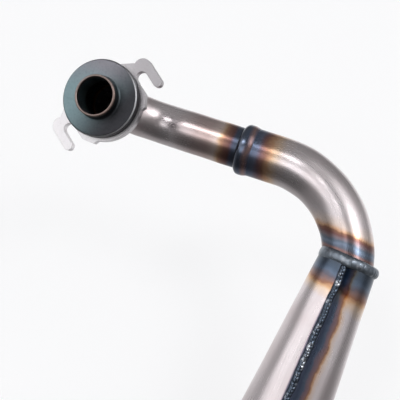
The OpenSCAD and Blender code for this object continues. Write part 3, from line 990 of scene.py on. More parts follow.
def fillet_bead(place: Place, radius: float, leg: float, pitch: float = 2.2, sink: float = 0.5,
                hollow: float = 0.2016) -> Surface:
    """A fillet weld in the corner between a pipe and a face at local z 0, on the face's -Z side.

    The skin is a quarter round of the given leg, drawn in at its middle, whose radius swells with the ripples
    and five times round the pipe.

    Args:
        place: frame with the pipe along local Z.
        radius: the pipe's outer radius.
        leg: size of the fillet.
        pitch: distance between ripples.
        sink: how far it reaches into the pipe and the face.
        hollow: how far the middle of the skin is drawn in, as a share of its radius.

    Returns:
        The surface.
    """
    length = 2.0 * np.pi * (radius + leg)
    along = np.linspace(0.0, length, int(length / 0.3), endpoint=False)[:, None]
    a = along / length * 2.0 * np.pi
    u = np.linspace(0.0, 1.0, 13)[None, :]
    ripple = ripple_height(along, 2.0 * u - 1.0, length / max(1, round(length / pitch)))
    bend = u * np.pi / 2.0
    size = leg * (0.86 + 0.14 * ripple + waves(a, (0.06, 5.0, 0.0)))
    reach = size * (1.0 - hollow * np.sin(2.0 * bend))
    r = radius + reach * np.cos(bend)
    z = -reach * np.sin(bend)
    inside, behind = np.full_like(along, radius - sink), np.full_like(along, sink)
    r = np.concatenate([r, inside, inside, r[:, :1]], 1)
    z = np.concatenate([z, z[:, -1:], behind, behind], 1)
    return Surface(place.point(r * np.cos(a), r * np.sin(a), z))


# Sub-assemblies


@dataclass
class Layout:
    """The part's driving sizes, and the frames that follow from them."""

    spigot_tilt: float = 34.3
    plate_turn: float = 51.7
    ring_t: float = 6.5
    plate_t: float = 5.0
    bend_lead: float = 0.9
    header_d: float = 28.0
    elbow_d: float = 32.5
    tube_wall: float = 1.5
    header_bend_r: float = 37.0
    header_len: float = 52.6
    elbow_lead: float = 26.4
    elbow_bend_r: float = 63.0
    elbow_angle: float = 78.7
    elbow_drop: float = 22.2
    chamber_yaw: float = -94.6
    cone_drop: float = 28.5
    sheet_wall: float = 1.2
    radii: tuple[float, ...] = (18.6, 28.5, 36.5, 42.0, 42.0, 11.0)
    lengths: tuple[float, ...] = (128.0, 62.0, 46.0, 48.0, 112.0)
    bead_h: float = 1.4
    band_t: float = 1.5
    silencer_offset: float = 88.0
    silencer_d: float = 60.0
    silencer_len: float = 185.0
    cap_t: float = 2.5
    stinger_d: float = 22.0
    stinger_bend_r: float = 42.0
    stinger_angle: float = 46.0
    stinger_lead: float = 14.0
    stinger_tail: float = 16.0

    def slope(self, i: int) -> float:
        """Downward slope of a chamber segment."""
        return self.cone_drop * max(0.0, 3.0 - i) / 3.0

    def flow(self, slope: float) -> np.ndarray:
        """Direction of the gas at a slope."""
        return self.segment_axes(slope)[:, 2]

    def segment_axes(self, slope: float) -> np.ndarray:
        """Axes of a chamber segment, with local +Z along the gas and local -X up."""
        return turn("Z", self.chamber_yaw) @ turn("Y", 90.0 + slope)

    @property
    def plate_back(self) -> float:
        """Height of the plate's back face in the spigot's frame."""
        return -(self.ring_t + self.plate_t)

    @property
    def bend_start(self) -> float:
        """Height where the header starts to bend."""
        return self.plate_back - self.bend_lead

    @property
    def spigot(self) -> Place:
        """The spigot's frame, with local +Z out of the port."""
        return Place(np.zeros(3), turn("X", self.spigot_tilt))

    @property
    def header(self) -> Place:
        """The header's frame at the end of its bend, with local +X towards the elbow's bend."""
        corner = self.spigot.point(0.0, 0.0, self.bend_start - self.header_bend_r)
        axes = turn("X", self.elbow_drop) @ turn("Y", 90.0) @ turn("Z", -90.0)
        return Place(corner + np.array([self.header_bend_r, 0.0, 0.0]), axes)

    @property
    def collar(self) -> Place:
        """The header's frame at the collar."""
        return self.header.shifted(0.0, 0.0, self.header_len)

    @property
    def elbow_end(self) -> np.ndarray:
        """Centre of the elbow's end."""
        swing = math.radians(self.elbow_angle)
        across = self.elbow_bend_r * (1.0 - math.cos(swing))
        return self.collar.point(across, 0.0, self.elbow_lead + self.elbow_bend_r * math.sin(swing))

    def segment(self, i: int) -> Place:
        """Frame of a chamber segment."""
        steps = [self.flow(self.slope(k)) * self.lengths[k] for k in range(i)]
        return Place(self.elbow_end + sum(steps, np.zeros(3)), self.segment_axes(self.slope(min(i, 4))))

    @property
    def silencer_drop(self) -> float:
        """How far the silencer's axis lies below the chamber's."""
        return self.radii[3] + self.bead_h - self.silencer_d / 2.0 - self.band_t

    @property
    def side_shift(self) -> float:
        """Distance between the two axes."""
        return math.hypot(self.silencer_offset, self.silencer_drop)

    @property
    def stinger_run(self) -> float:
        """Length of the straight between the stinger's bends."""
        swing = math.radians(self.stinger_angle)
        return (self.side_shift - 2.0 * self.stinger_bend_r * (1.0 - math.cos(swing))) / math.sin(swing)

    @property
    def stinger(self) -> Place:
        """The stinger's frame, turned so that its bends lie in the local X-Z plane."""
        roll = math.degrees(math.atan2(self.silencer_drop, self.silencer_offset))
        return self.segment(5).turned("Z", 90.0 - roll)

    @property
    def silencer(self) -> Place:
        """The silencer's frame at its front."""
        swing = math.radians(self.stinger_angle)
        reach = 2.0 * self.stinger_bend_r * math.sin(swing) + self.stinger_run * math.cos(swing)
        yaw = math.radians(self.chamber_yaw)
        side = np.array([-math.sin(yaw), math.cos(yaw), 0.0])
        origin = self.segment(5).origin + self.flow(0.0) * (self.stinger_lead + reach + self.stinger_tail)
        origin = origin + side * self.silencer_offset - np.array([0.0, 0.0, self.silencer_drop])
        return Place(origin, self.segment_axes(0.0))


DARK_WELD = WeldMetal("weld_dark")
SEAM_WELD = WeldMetal("weld_seam", colour=(0.06, 0.075, 0.10), glint=(0.42, 0.44, 0.48), rough=0.17)
CLEAN_STEEL = RolledSteel("steel_clean")


@dataclass
class Spigot:
    """Turned ring with its stub, the hooked plate behind it and the weld on the plate's back.

    Attributes:
        layout: the driving sizes.
        bore_d: the port's bore.
        stub_d: diameter of the stub that enters the cylinder.
        stub_len: its length.
        ring_d: the ring's diameter.
        chamfer: the ring's chamfer.
        root: the bevel where the stub leaves the ring.
        stub_edge: the bevel of the stub's outer edge.
        bore_edge: the same for its inner edge.
        edge_round: how far the profile's corners are rounded.
        weld_leg: size of the fillet weld.
    """

    layout: Layout
    bore_d: float = 23.6
    stub_d: float = 26.8
    stub_len: float = 8.0
    ring_d: float = 50.0
    chamfer: float = 0.9
    root: float = 0.8
    stub_edge: float = 0.5
    bore_edge: float = 0.4
    edge_round: float = 0.25
    weld_leg: float = 2.7

    def ring(self, shop: Workshop) -> None:
        """The ring as one turned profile with broken edges."""
        bore, stub, ring, top = self.bore_d / 2.0, self.stub_d / 2.0, self.ring_d / 2.0, self.stub_len
        profile = [
            (bore, -self.layout.ring_t), (ring, -self.layout.ring_t), (ring, -self.chamfer),
            (ring - self.chamfer, 0.0), (stub + self.root, 0.0), (stub, self.root),
            (stub, top - self.stub_edge), (stub - self.stub_edge, top), (bore + self.bore_edge, top),
            (bore, top - self.bore_edge),
        ]
        outline = rounded(profile, self.edge_round)
        surface = lathe(self.layout.spigot, outline, 160)
        surface.traces[Trace.START] = outline[:, 1:]
        shop.make("turned_spigot_ring", [surface], TurnedSteel("steel_turned"), Slot.TURNED, "spigot_ring")

    def plate(self, shop: Workshop) -> None:
        """The plate, with its edges broken."""
        # fade paints shade over the plate, darker towards +X and +Y.
        finish = SatinMetal("steel_plate", (0.74, 0.72, 0.74), rough=0.42, speck=0.45, fade=0.85)
        shop.soften("hooked_flange_plate", "flange_plate", 0.5, finish)

    def weld(self, shop: Workshop) -> None:
        """The fillet weld on the plate's back."""
        place = self.layout.spigot.shifted(0.0, 0.0, self.layout.plate_back)
        surface = fillet_bead(place, self.layout.header_d / 2.0, self.weld_leg)
        shop.make("flange_fillet_weld", [surface], DARK_WELD, Slot.WELD, "flange_weld")


@dataclass
class Header:
    """Header tube, and the collar that closes the step up to the elbow.

    Attributes:
        layout: the driving sizes.
        reach_in: how far the tube reaches into the elbow.
        bend_r: radius of its bend.
        back_r: radius of the bend back.
        past: angle that it is bent past the straight.
        covered: length of the tube in the plate and its weld.
        rise: height of the collar above the elbow.
        front: length of the collar's lip in front of the elbow.
        flat: where the collar starts to fall.
        tail: where it meets the elbow's skin.
        sink: how far it reaches into both tubes.
    """

    layout: Layout
    reach_in: float = 4.0
    bend_r: float = 36.0
    back_r: float = 34.0
    past: float = 11.5
    covered: float = 7.5
    rise: float = 1.1
    front: float = 3.0
    flat: float = 1.5
    tail: float = 8.0
    sink: float = 0.3

    def tube(self, shop: Workshop) -> None:
        """The tube in one piece, bent a little past the straight and back, as a pipe bender leaves it."""
        lay = self.layout
        runs = [Run(self.bend_r, 90.0 + self.past), Run(self.back_r, -self.past)]
        line = centreline(runs)[0][-1]
        lead = lay.header_bend_r - lay.ring_t - lay.bend_start - line[1]
        runs = [Run(lead), *runs, Run(lay.header_bend_r + lay.header_len + self.reach_in - line[0])]
        place = lay.spigot.shifted(0.0, 0.0, -lay.ring_t).turned("X", 180.0)
        surface = swept_tube(place, runs, lay.header_d / 2.0, lay.tube_wall)
        surface.past_welds(self.covered, self.reach_in + self.front)
        tints = (Tint(Trace.START, Heat.RING, 0.5), Tint(Trace.END, Heat.HEADER))
        finish = RolledSteel("steel_header", tints, smoke_and_shade=0.6)
        shop.make("bent_header_tube", [surface], finish, Slot.RAW, "header_bend", "header_pipe")

    def collar(self, shop: Workshop) -> None:
        """The collar, a turned profile: a quarter-round front lip, and a tail that falls as a half cosine."""
        r0, r1 = self.layout.header_d / 2.0, self.layout.elbow_d / 2.0
        top = r1 + self.rise
        u = np.linspace(0.0, 1.0, 14)
        fall = r1 + self.rise * (0.5 + 0.5 * np.cos(np.pi * u**1.3))
        tail = np.stack([fall, self.flat + (self.tail - self.flat) * u], 1)[::-1]
        v = np.linspace(0.0, np.pi / 2.0, 10)
        lip = np.stack([top - (top - r0) * (1.0 - np.cos(v)), 0.5 * np.cos(v) - self.front * np.sin(v)], 1)
        inner = [[r0 - self.sink, -self.front], [r0 - self.sink, 6.0], [r1 - self.sink, self.tail]]
        profile = np.concatenate([inner, tail, lip])
        surface = lathe(self.layout.collar, profile)
        surface.traces[Trace.START] = profile[:, 1:] + self.front
        finish = RolledSteel("steel_collar", (Tint(Trace.START, Heat.COLLAR),), rough=0.21)
        shop.make("header_collar_sleeve", [surface], finish, Slot.WELD, "header_collar")


@dataclass
class Elbow:
    """Swept elbow and the fat weld at its end.

    Attributes:
        layout: the driving sizes.
        sleeve: length of the elbow under the collar.
        nose: how far it reaches into the cone.
        covered: length of its end under the fat weld.
        sink: how far the weld's middle lies inside the cone's mouth, both ways.
        pitch: distance between the weld's ripples.
        half_width: half the weld's width.
        thin: its height on the left.
        swell: how much higher it is on the right.
        lump: height of the lump where the seam meets it.
    """

    layout: Layout
    sleeve: float = 8.0
    nose: float = 5.0
    covered: float = 4.5
    sink: float = 1.2
    pitch: float = 3.4
    half_width: float = 4.0
    thin: float = 2.0
    swell: float = 0.8
    lump: float = 1.3

    def tube(self, shop: Workshop) -> None:
        """The elbow with its straight lead."""
        lay = self.layout
        runs = [Run(lay.elbow_lead), Run(lay.elbow_bend_r, lay.elbow_angle), Run(self.nose)]
        surface = swept_tube(lay.collar, runs, lay.elbow_d / 2.0, lay.tube_wall)
        mouth = lay.segment(0)
        surface.traces[Trace.END] = (mouth.origin - surface.points) @ mouth.axes[:, 2]
        surface.past_welds(self.sleeve, self.covered)
        tints = (Tint(Trace.START, Heat.LEAD, 2.0), Tint(Trace.END, Heat.BEND, 0.93))
        shop.make("swept_elbow", [surface], RolledSteel("steel_elbow", tints), Slot.RAW, "elbow")

    def weld(self, shop: Workshop) -> None:
        """The fat weld: a band that is flat on the left, and swells with ripples and lumps on the right.

        Its section is an ellipse, wider along the axis than it is high, whose height grows towards the right,
        with the biggest lump where the seam meets it.
        """
        centre = self.layout.radii[0] - self.sink
        place = self.layout.segment(0).shifted(0.0, 0.0, -self.sink)
        length = 2.0 * np.pi * centre
        along = np.linspace(0.0, length, 480, endpoint=False)[:, None]
        a = along / centre
        u = angles(44)[None, :]
        right = 0.5 + 0.5 * np.sin(a)
        ripple = ripple_height(along, np.sin(u), length / round(length / self.pitch))
        lump = np.exp(-(((a - np.pi + 0.12) / 0.17) ** 2)) * np.maximum(np.cos(u - 0.5), 0.0)
        height = self.thin + self.swell * right**2 + waves(a, (0.12, 5.0, 0.0))
        valley = (0.10 + 0.28 * right) * (1.0 - ripple)
        r = centre + (height - valley) * np.cos(u) + self.lump * lump
        z = (self.half_width - 0.5 * right - 0.5 * valley + 0.9 * lump) * np.sin(u)
        surface = Surface(place.point(r * np.cos(a), r * np.sin(a), z))
        shop.make("elbow_fat_weld", [surface], DARK_WELD, Slot.WELD, "elbow_weld")


@dataclass
class Chamber:
    """Rolled cones and belly between mitre planes, with their ring and seam welds.

    Attributes:
        layout: the driving sizes.
        seam_turn: how far round the belly's and the baffle cone's seams lie from the others, in degrees.
        names: the segments' CAD nodes.
        seams: the CAD nodes of their seam welds.
        joints: the CAD nodes of the ring welds in front of them.
        trims: what each seam weld leaves free in front and behind.
        columns: points round a sheet.
        seam_flat: how far a sheet falls in beside its seam.
        seam_reach: how far round that reaches, in radians.
        dents: heights of the dents that come three and five times round.
        edge_fade: distance from a sheet's edge at which the dents are full.
        covered: how far a ring weld reaches over a sheet.
        mouth: where the seam's tints start to widen on the first cone, and over what length.
    """

    layout: Layout
    seam_turn: float = 75.0
    names: tuple[str, ...] = ("cone_1", "cone_2", "cone_3", "belly", "baffle_cone")
    seams: tuple[str, ...] = ("cone_1_seam", "cone_2_seam", "cone_3_seam", "belly_seam", "baffle_seam")
    joints: tuple[str, ...] = ("", "cone_joint_1", "cone_joint_2", "cone_joint_3", "belly_joint")
    trims: tuple[tuple[float, float], ...] = ((1.5, 4.5), (5.5, 5.5), (6.5, 6.5), (4.0, 3.0), (3.0, 3.5))
    columns: int = 192
    seam_flat: float = 0.22
    seam_reach: float = 0.5
    dents: tuple[float, float] = (0.10, 0.07)
    edge_fade: float = 12.0
    covered: float = 2.0
    mouth: tuple[float, float] = (12.0, 28.0)

    def mitre(self, i: int) -> float:
        """Half the change of slope in front of a segment, in degrees."""
        return 0.0 if i in (0, 5) else (self.layout.slope(i - 1) - self.layout.slope(min(i, 4))) / 2.0

    def seam_angle(self, i: int) -> float:
        """Angle of a segment's seam about its axis, in degrees."""
        return 180.0 + (self.seam_turn if i > 2 else 0.0)

    def sheet(self, shop: Workshop, i: int) -> None:
        """One rolled segment.

        A generator line at angle a meets a plane tilted by t through the axis at
        z = -r0 c / (1 + k c) with c = tan t cos a. The rows run between the two planes, out and back inside.
        Away from its edges the sheet has shallow dents round it, and lies a little flat beside the seam. The
        seam's distance is the arc from it, stretched at the first cone's mouth, where the tints are narrow.
        """
        lay = self.layout
        r0, r1, length = lay.radii[i], lay.radii[i + 1], lay.lengths[i]
        k = (r1 - r0) / length
        turned = angles(self.columns)[None, :]
        a = math.radians(self.seam_angle(i)) + turned
        head = np.tan(math.radians(self.mitre(i))) * np.cos(a)
        tail = np.tan(-math.radians(self.mitre(i + 1))) * np.cos(a)
        low = -r0 * head / (1.0 + k * head)
        high = length - r1 * tail / (1.0 + k * tail)
        rows = max(24, int(length / 2.0))
        u = np.linspace(0.0, 1.0, rows)[:, None]
        u = np.concatenate([u, u[::-1]])
        wall = np.concatenate([np.zeros((rows, 1)), np.full((rows, 1), lay.sheet_wall)])
        z = low + (high - low) * u
        around = np.where(turned > np.pi, turned - 2.0 * np.pi, turned)
        flat = self.seam_flat * np.exp(-((around / self.seam_reach) ** 2))
        three, five = np.sin(3.0 * a + 0.05 * z), np.sin(5.0 * a - 0.08 * z + 1.0)
        dent = self.dents[0] * three + self.dents[1] * five - flat
        edge = np.minimum(z - low, high - z)
        r = r0 + k * z - wall + dent * np.clip(edge / self.edge_fade, 0.0, 1.0)
        spread = np.clip((z - self.mouth[0]) / self.mouth[1], 0.0, 1.0) if i == 0 else np.ones_like(z)
        arc = -(r0 + k * z) * around / (0.8 + 0.35 * spread)
        start = (z - low - self.covered) / (1.5 + 0.25 * np.sin(a))
        traces = {
            Trace.ALONG: z, Trace.ROUND: np.abs(arc), Trace.START: np.maximum(start, 0.0),
            Trace.END: np.maximum(high - z - self.covered, 0.0), Trace.SEAM: arc,
        }
        surface = Surface(lay.segment(i).point(r * np.cos(a), r * np.sin(a), z), traces)
        tints = (Tint(Trace.START, Heat.RING), Tint(Trace.END, Heat.RING), Tint(Trace.SEAM, Heat.SEAM))
        finish = RolledSteel("steel_" + self.names[i], tints)
        shop.make("rolled_" + self.names[i], [surface], finish, Slot.RAW, self.names[i])

    def seam(self, shop: Workshop, i: int) -> None:
        """The seam weld along a segment."""
        lay = self.layout
        k = (lay.radii[i + 1] - lay.radii[i]) / lay.lengths[i]
        start, end = self.trims[i]
        surface = seam_bead(lay.segment(i), lambda z: lay.radii[i] + k * z, start, lay.lengths[i] - end,
                            self.seam_angle(i), Bead(width=4.3, height=1.45))
        shop.make("rippled_" + self.seams[i], [surface], SEAM_WELD, Slot.WELD, self.seams[i])

    def joint(self, shop: Workshop, i: int) -> None:
        """The ring weld in front of a segment."""
        place = self.layout.segment(i).turned("Y", self.mitre(i))
        surface = ring_bead(place, self.layout.radii[i], 2.5)
        shop.make("ring_weld_" + self.joints[i], [surface], DARK_WELD, Slot.WELD, self.joints[i])

    def build(self, shop: Workshop) -> None:
        """All segments, seams and joints."""
        for i in range(5):
            self.sheet(shop, i)
            self.seam(shop, i)
            if i:
                self.joint(shop, i)


@dataclass
class Stinger:
    """Small S-bent pipe between the chamber and the silencer.

    Attributes:
        layout: the driving sizes.
        covered: length of its start under the ring weld.
        leg: size of the fillet weld at its end.
    """

    layout: Layout
    covered: float = 2.2
    leg: float = 2.4

    def pipe(self, shop: Workshop) -> None:
        """The pipe with its two bends."""
        lay = self.layout
        bend, swing = lay.stinger_bend_r, lay.stinger_angle
        runs = [Run(lay.stinger_lead), Run(bend, swing), Run(lay.stinger_run), Run(bend, -swing),
                Run(lay.stinger_tail + lay.cap_t)]
        surface = swept_tube(lay.stinger, runs, lay.stinger_d / 2.0, lay.tube_wall, 96)
        surface.past_welds(self.covered, lay.cap_t + self.leg)
        tints = (Tint(Trace.START, Heat.RING, 0.8), Tint(Trace.END, Heat.RING, 0.7))
        shop.make("bent_stinger", [surface], RolledSteel("steel_stinger", tints), Slot.RAW, "stinger")

    def weld(self, shop: Workshop) -> None:
        """The ring weld at its start."""
        surface = ring_bead(self.layout.segment(5), self.layout.stinger_d / 2.0, 2.3)
        shop.make("stinger_ring_weld", [surface], DARK_WELD, Slot.WELD, "stinger_weld")


@dataclass
class Silencer:
    """Riveted shell with two caps, packing round a core, tail pipe, welds and clamp band.

    Attributes:
        layout: the driving sizes.
        shell_t: the shell's thickness.
        cap_lip: depth of the caps' lips.
        cap_bend: bevel where a cap turns into its lip.
        lip_t: the lips' thickness.
        tail_d: the tail pipe's diameter.
        tail_len: its length.
        rivet_d: diameter of the rivets' shanks.
        rivet_count: rivets at each end.
        rivet_rise: height of their domes.
        rivet_sink: how far their heads reach into the shell.
        fit: the caps' clearance to the radius.
        leg: size of the fillet welds.
    """

    layout: Layout
    shell_t: float = 1.2
    cap_lip: float = 12.0
    cap_bend: float = 1.2
    lip_t: float = 1.5
    tail_d: float = 22.0
    tail_len: float = 38.0
    rivet_d: float = 4.0
    rivet_count: int = 8
    rivet_rise: float = 1.15
    rivet_sink: float = 0.3
    fit: float = 0.125
    leg: float = 2.4

    def shell(self, shop: Workshop) -> None:
        """The shell, a thin tube with rolled edges."""
        r, length = self.layout.silencer_d / 2.0, self.layout.silencer_len
        profile = rounded([(r - self.shell_t, 0.0), (r, 0.0), (r, length), (r - self.shell_t, length)], 0.35)
        surface = lathe(self.layout.silencer, profile, 160)
        finish = BrushedMetal("aluminium_shell", (0.72, 0.72, 0.73), 0.30)
        shop.make("brushed_shell", [surface], finish, Slot.SILENCER, "silencer_shell")

    def cap(self, shop: Workshop, name: str, node: str, place: Place, hole: float) -> None:
        """A pressed cap with a lip inside the shell.

        Args:
            shop: the workshop.
            name: the piece's name.
            node: the CAD node.
            place: the cap's frame, with local +Z into the silencer.
            hole: radius of the pipe through it.
        """
        t, bend = self.layout.cap_t, self.cap_bend
        r = self.layout.silencer_d / 2.0 - self.shell_t - self.fit
        inner, hole = r - self.lip_t, hole + self.fit
        profile = rounded([
            (hole, 0.0), (r - bend, 0.0), (r, bend), (r, self.cap_lip), (inner, self.cap_lip),
            (inner, t + bend), (inner - bend, t), (hole, t),
        ], 0.5)
        finish = BrushedMetal("aluminium_cap", (0.70, 0.70, 0.71), 0.34)
        shop.make(name, [lathe(place, profile, 160)], finish, Slot.SILENCER, node)

    def rivets(self, shop: Workshop) -> None:
        """Sixteen domed rivets: one turned profile, set round both ends of the shell."""
        shank, head, low = self.rivet_d / 2.0, self.rivet_d * 0.95, -self.rivet_sink
        u = np.linspace(0.0, np.pi / 2.0, 8)
        dome = np.stack([head * np.cos(u), 0.25 + self.rivet_rise * np.sin(u)], 1)
        stem = [[0.0, -self.shell_t], [shank, -self.shell_t], [shank, low], [head, low]]
        profile = np.concatenate([stem, dome])
        a = angles(28)[None, :]
        y, x = profile[:, :1] * np.cos(a), profile[:, :1] * np.sin(a)
        rise = np.broadcast_to(profile[:, 1:], y.shape)
        surfaces = []
        inset = self.cap_lip * 0.55
        for z in (inset, self.layout.silencer_len - inset):
            for k in range(self.rivet_count):
                turned = self.layout.silencer.turned("Z", (k + 0.5) * 360.0 / self.rivet_count)
                spot = turned.shifted(self.layout.silencer_d / 2.0, 0.0, z)
                surfaces.append(Surface(spot.point(rise, y, x), closed_rows=False))
        finish = SatinMetal("rivet_satin", (0.75, 0.75, 0.76), rough=0.3, speck=0.15)
        shop.make("domed_rivets", surfaces, finish, Slot.RIVET, "silencer_rivets")

    def tail(self, shop: Workshop) -> None:
        """The tail pipe, cut square."""
        lay = self.layout
        place = lay.silencer.shifted(0.0, 0.0, lay.silencer_len - lay.cap_t)
        surface = swept_tube(place, [Run(self.tail_len)], self.tail_d / 2.0, lay.tube_wall, 96)
        surface.past_welds(lay.cap_t + self.leg)
        finish = RolledSteel("steel_tail", (Tint(Trace.START, Heat.RING, 0.6),))
        shop.make("plain_tail_pipe", [surface], finish, Slot.RAW, "tail_pipe")

    def build(self, shop: Workshop) -> None:
        """The whole silencer."""
        front = self.layout.silencer
        rear = front.shifted(0.0, 0.0, self.layout.silencer_len)
        rear = Place(rear.origin, rear.axes @ np.diag([1.0, 1.0, -1.0]))
        inlet, outlet = self.layout.stinger_d / 2.0, self.tail_d / 2.0
        self.shell(shop)
        self.cap(shop, "front_cap", "silencer_front_cap", front, inlet)
        self.cap(shop, "rear_cap", "silencer_rear_cap", rear, outlet)
        self.rivets(shop)
        self.tail(shop)
        for name, place, radius in (("inlet", front, inlet), ("outlet", rear, outlet)):
            surface = fillet_bead(place, radius, self.leg)
            shop.make(name + "_fillet_weld", [surface], DARK_WELD, Slot.WELD, name + "_weld")
        zinc = SatinMetal("zinc_bright", (0.64, 0.64, 0.62), rough=0.28, speck=0.25, grain=1800.0)
        shop.soften("clamp_band", "silencer_band", 0.3, zinc)
        for name in ("bolt", "nut"):
            shop.soften("clamp_" + name, "band_" + name, 0.35, zinc)
        shop.keep("silencer_core", CLEAN_STEEL)
        shop.keep("silencer_packing", GlassWool("glass_wool_mat"))


@dataclass
class Bracket:
    """Sheet bracket on the belly and its two fillet welds."""

    layout: Layout

    def build(self, shop: Workshop) -> None:
        """The bracket with broken edges, and its welds."""
        finish = SatinMetal("steel_bracket", (0.56, 0.545, 0.55), rough=0.34, speck=0.4)
        shop.soften("belly_bracket", "engine_bracket", 0.5, finish)
        shop.soften("bracket_fillet_welds", "bracket_welds", 0.4, DARK_WELD)


@dataclass(frozen=True)
class Patch:
    """Light on the tent that is bounded along the axes: its strength times a smooth step for each axis.

    Attributes:
        strength: its strength, negative for shade.
        x: where the step along x is 0 and where it is 1, or None.
        y: the same for y.
        z: the same for z.
    """

    strength: float
    x: Optional[tuple[float, float]] = None
    y: Optional[tuple[float, float]] = None
    z: Optional[tuple[float, float]] = None

    def glow(self, axes: dict[str, Signal]) -> Signal:
        """The patch's glow at a direction, given by its x, y and z."""
        steps = [axes[name].between(*getattr(self, name)) for name in "xyz" if getattr(self, name)]
        return math.prod(steps[1:], start=steps[0]) * self.strength


@dataclass(frozen=True)
class Disc:
    """A soft disc of light on the tent: a smooth step of the cosine between a direction and its middle.

    Attributes:
        azimuth: direction of its middle, in degrees from +X.
        elevation: height of its middle, in degrees.
        inner: radius of its even part, in degrees.
        outer: radius where it ends, in degrees.
        strength: its strength.
    """

    azimuth: float
    elevation: float
    inner: float
    outer: float
    strength: float

    def glow(self, axes: dict[str, Signal]) -> Signal:
        """The disc's glow at a direction, given by its x, y and z."""
        around, up = math.radians(self.azimuth), math.radians(self.elevation)
        way = (math.cos(up) * math.cos(around), math.cos(up) * math.sin(around), math.sin(up))
        cosine = axes["x"] * way[0] + axes["y"] * way[1] + axes["z"] * way[2]
        edge, even = math.cos(math.radians(self.outer)), math.cos(math.radians(self.inner))
        return cosine.between(edge, even) * self.strength


TENT_BASE = 0.27
TENT_LIGHT = (
    # Pale cloth that brightens upwards, and the floor's light from below
    Patch(0.08, z=(-0.1, 0.5)),
    Patch(0.02, z=(0.5, 0.95)),
    Patch(0.22, z=(-0.55, -0.95)),
    # A darker low front, pale paper behind the object, and a lit patch on the right and on the left
    Patch(-0.16, x=(-0.75, -0.35), y=(-0.30, -0.85), z=(0.70, 0.35)),
    Patch(0.80, y=(0.05, 0.5), z=(-0.05, -0.45)),
    Patch(0.30, x=(0.4, 0.8), y=(0.1, 0.5), z=(-0.2, 0.1)),
    Patch(0.34, x=(-0.55, -0.92), y=(-0.7, -0.1), z=(0.5, -0.3)),
    # Three soft lamps on the left, and three on the right
    Disc(-162.0, 73.0, 3.0, 10.0, 9.5),
    Disc(-168.0, 38.0, 11.0, 30.0, 1.25),
    Disc(-108.0, 48.0, 5.0, 18.0, 1.5),
    Disc(18.0, 52.0, 10.0, 34.0, 1.2),
    Disc(8.0, 56.0, 3.0, 12.0, 9.0),
    Disc(-6.0, 20.0, 8.0, 24.0, 0.45),
)


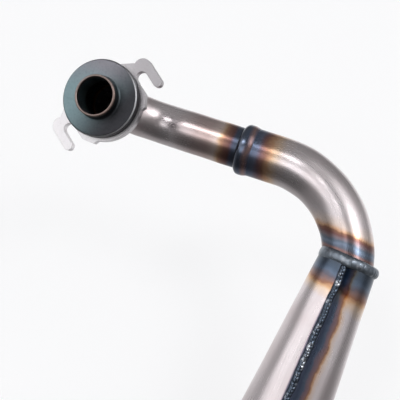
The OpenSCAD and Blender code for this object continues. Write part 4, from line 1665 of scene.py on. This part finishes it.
@dataclass
class Studio:
    """Pale floor, soft light and the camera at the photograph's angle.

    Attributes:
        camera_place: the camera's place, in millimetres.
        camera_turn: its rotation, in degrees.
        lens: its focal length, for a 36 mm sensor.
        floor_z: the floor's height, in millimetres.
        floor_half: half the floor's side, in metres.
        floor_glow: share of the floor that glows.
        tent_r: the tent's radius, in metres.
        lamp_way: direction of the overhead lamp, seen from the object.
        lamp_aim: the point that it faces, in metres.
        lamp_gap: its distance from there, in metres.
        lamp_side: its width and height, in metres.
        lamp_power: its power, in watts.
    """

    camera_place: tuple[float, float, float] = (183.4, -255.6, 324.6)
    camera_turn: tuple[float, float, float] = (35.05, 0.61, 23.30)
    lens: float = 63.0
    floor_z: float = -192.4
    floor_half: float = 12.0
    floor_glow: float = 0.76
    tent_r: float = 6.0
    lamp_way: tuple[float, float, float] = (-0.35, -0.45, 0.82)
    lamp_aim: tuple[float, float, float] = (0.1, -0.05, -0.05)
    lamp_gap: float = 1.6
    lamp_side: float = 1.0
    lamp_power: float = 1.2

    def camera(self) -> None:
        """The camera, from the fit of the photographed tubes."""
        data = bpy.data.cameras.new("camera")
        data.lens = self.lens
        data.sensor_width = 36.0
        data.clip_start = 0.01
        data.clip_end = 50.0
        item = new_object("camera", data)
        item.location = Vector(self.camera_place) * MM
        item.rotation_euler = [math.radians(d) for d in self.camera_turn]
        bpy.context.scene.camera = item

    def floor(self) -> None:
        """A wide pale floor that keeps the object's shadow."""
        half, z = self.floor_half, self.floor_z * MM
        mesh = bpy.data.meshes.new("floor")
        corners = [(-half, -half, z), (half, -half, z), (half, half, z), (-half, half, z)]
        mesh.from_pydata(corners, [], [(0, 1, 2, 3)])
        material, shader = new_material("floor_pale")
        matte = shader.add("ShaderNodeBsdfDiffuse", {}, {"Color": (0.90, 0.90, 0.91)})
        glow = shader.add("ShaderNodeEmission", {}, {"Color": (0.99, 0.99, 1.0), "Strength": 1.0})
        shader.end(shader.add("ShaderNodeMixShader", {}, {0: self.floor_glow, 1: matte, 2: glow}))
        mesh.materials.append(material)
        item = new_object("floor", mesh)
        item.visible_glossy = False

    def tent(self) -> None:
        """A closed light tent that the camera doesn't see: TENT_BASE plus TENT_LIGHT, by direction."""
        mesh = bpy.data.meshes.new("tent")
        shell = bmesh.new()
        bmesh.ops.create_uvsphere(shell, u_segments=48, v_segments=24, radius=self.tent_r)
        bmesh.ops.reverse_faces(shell, faces=shell.faces)
        shell.to_mesh(mesh)
        shell.free()
        material, shader = new_material("tent_cloth")
        axes = {name: shader.axis(name.upper()) / self.tent_r for name in "xyz"}
        glow = sum((light.glow(axes) for light in TENT_LIGHT), TENT_BASE)
        shader.end(shader.add("ShaderNodeEmission", {}, {"Strength": glow, "Color": (1.0, 1.0, 1.0)}))
        material.cycles.emission_sampling = "NONE"
        mesh.materials.append(material)
        item = new_object("tent", mesh)
        item.visible_camera = False
        item.visible_shadow = False

    def lamp(self) -> None:
        """A soft overhead lamp that faces the header."""
        data = bpy.data.lights.new("overhead_lamp", "AREA")
        data.shape = "RECTANGLE"
        data.size = data.size_y = self.lamp_side
        data.energy = self.lamp_power
        item = new_object("overhead_lamp", data)
        way = Vector(self.lamp_way).normalized()
        item.location = Vector(self.lamp_aim) + way * self.lamp_gap
        item.rotation_euler = way.to_track_quat("Z", "Y").to_euler()
        item.visible_camera = False

    def build(self) -> None:
        """Camera, floor, tent, lamp and a plain white world."""
        scene = bpy.context.scene
        scene.view_settings.view_transform = "Standard"
        world = bpy.data.worlds.new("world")
        world.use_nodes = True
        scene.world = world
        shader = Shader(world.node_tree)
        cloth = shader.add("ShaderNodeBackground", {}, {"Color": (0.95, 0.955, 0.965), "Strength": 1.0})
        shader.add("ShaderNodeOutputWorld", {}, {"Surface": cloth})
        self.camera()
        self.floor()
        self.tent()
        self.lamp()


def main() -> None:
    """Builds every sub-assembly in order, then the studio."""
    logging.basicConfig(level=logging.INFO, format="%(name)s %(message)s")
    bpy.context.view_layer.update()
    shop = Workshop()
    layout = Layout()
    spigot, header, elbow = Spigot(layout), Header(layout), Elbow(layout)
    spigot.ring(shop)
    spigot.plate(shop)
    spigot.weld(shop)
    header.tube(shop)
    header.collar(shop)
    elbow.tube(shop)
    elbow.weld(shop)
    Chamber(layout).build(shop)
    stinger = Stinger(layout)
    stinger.pipe(shop)
    stinger.weld(shop)
    Silencer(layout).build(shop)
    Bracket(layout).build(shop)
    Studio().build()


if __name__ == "__main__":
    main()
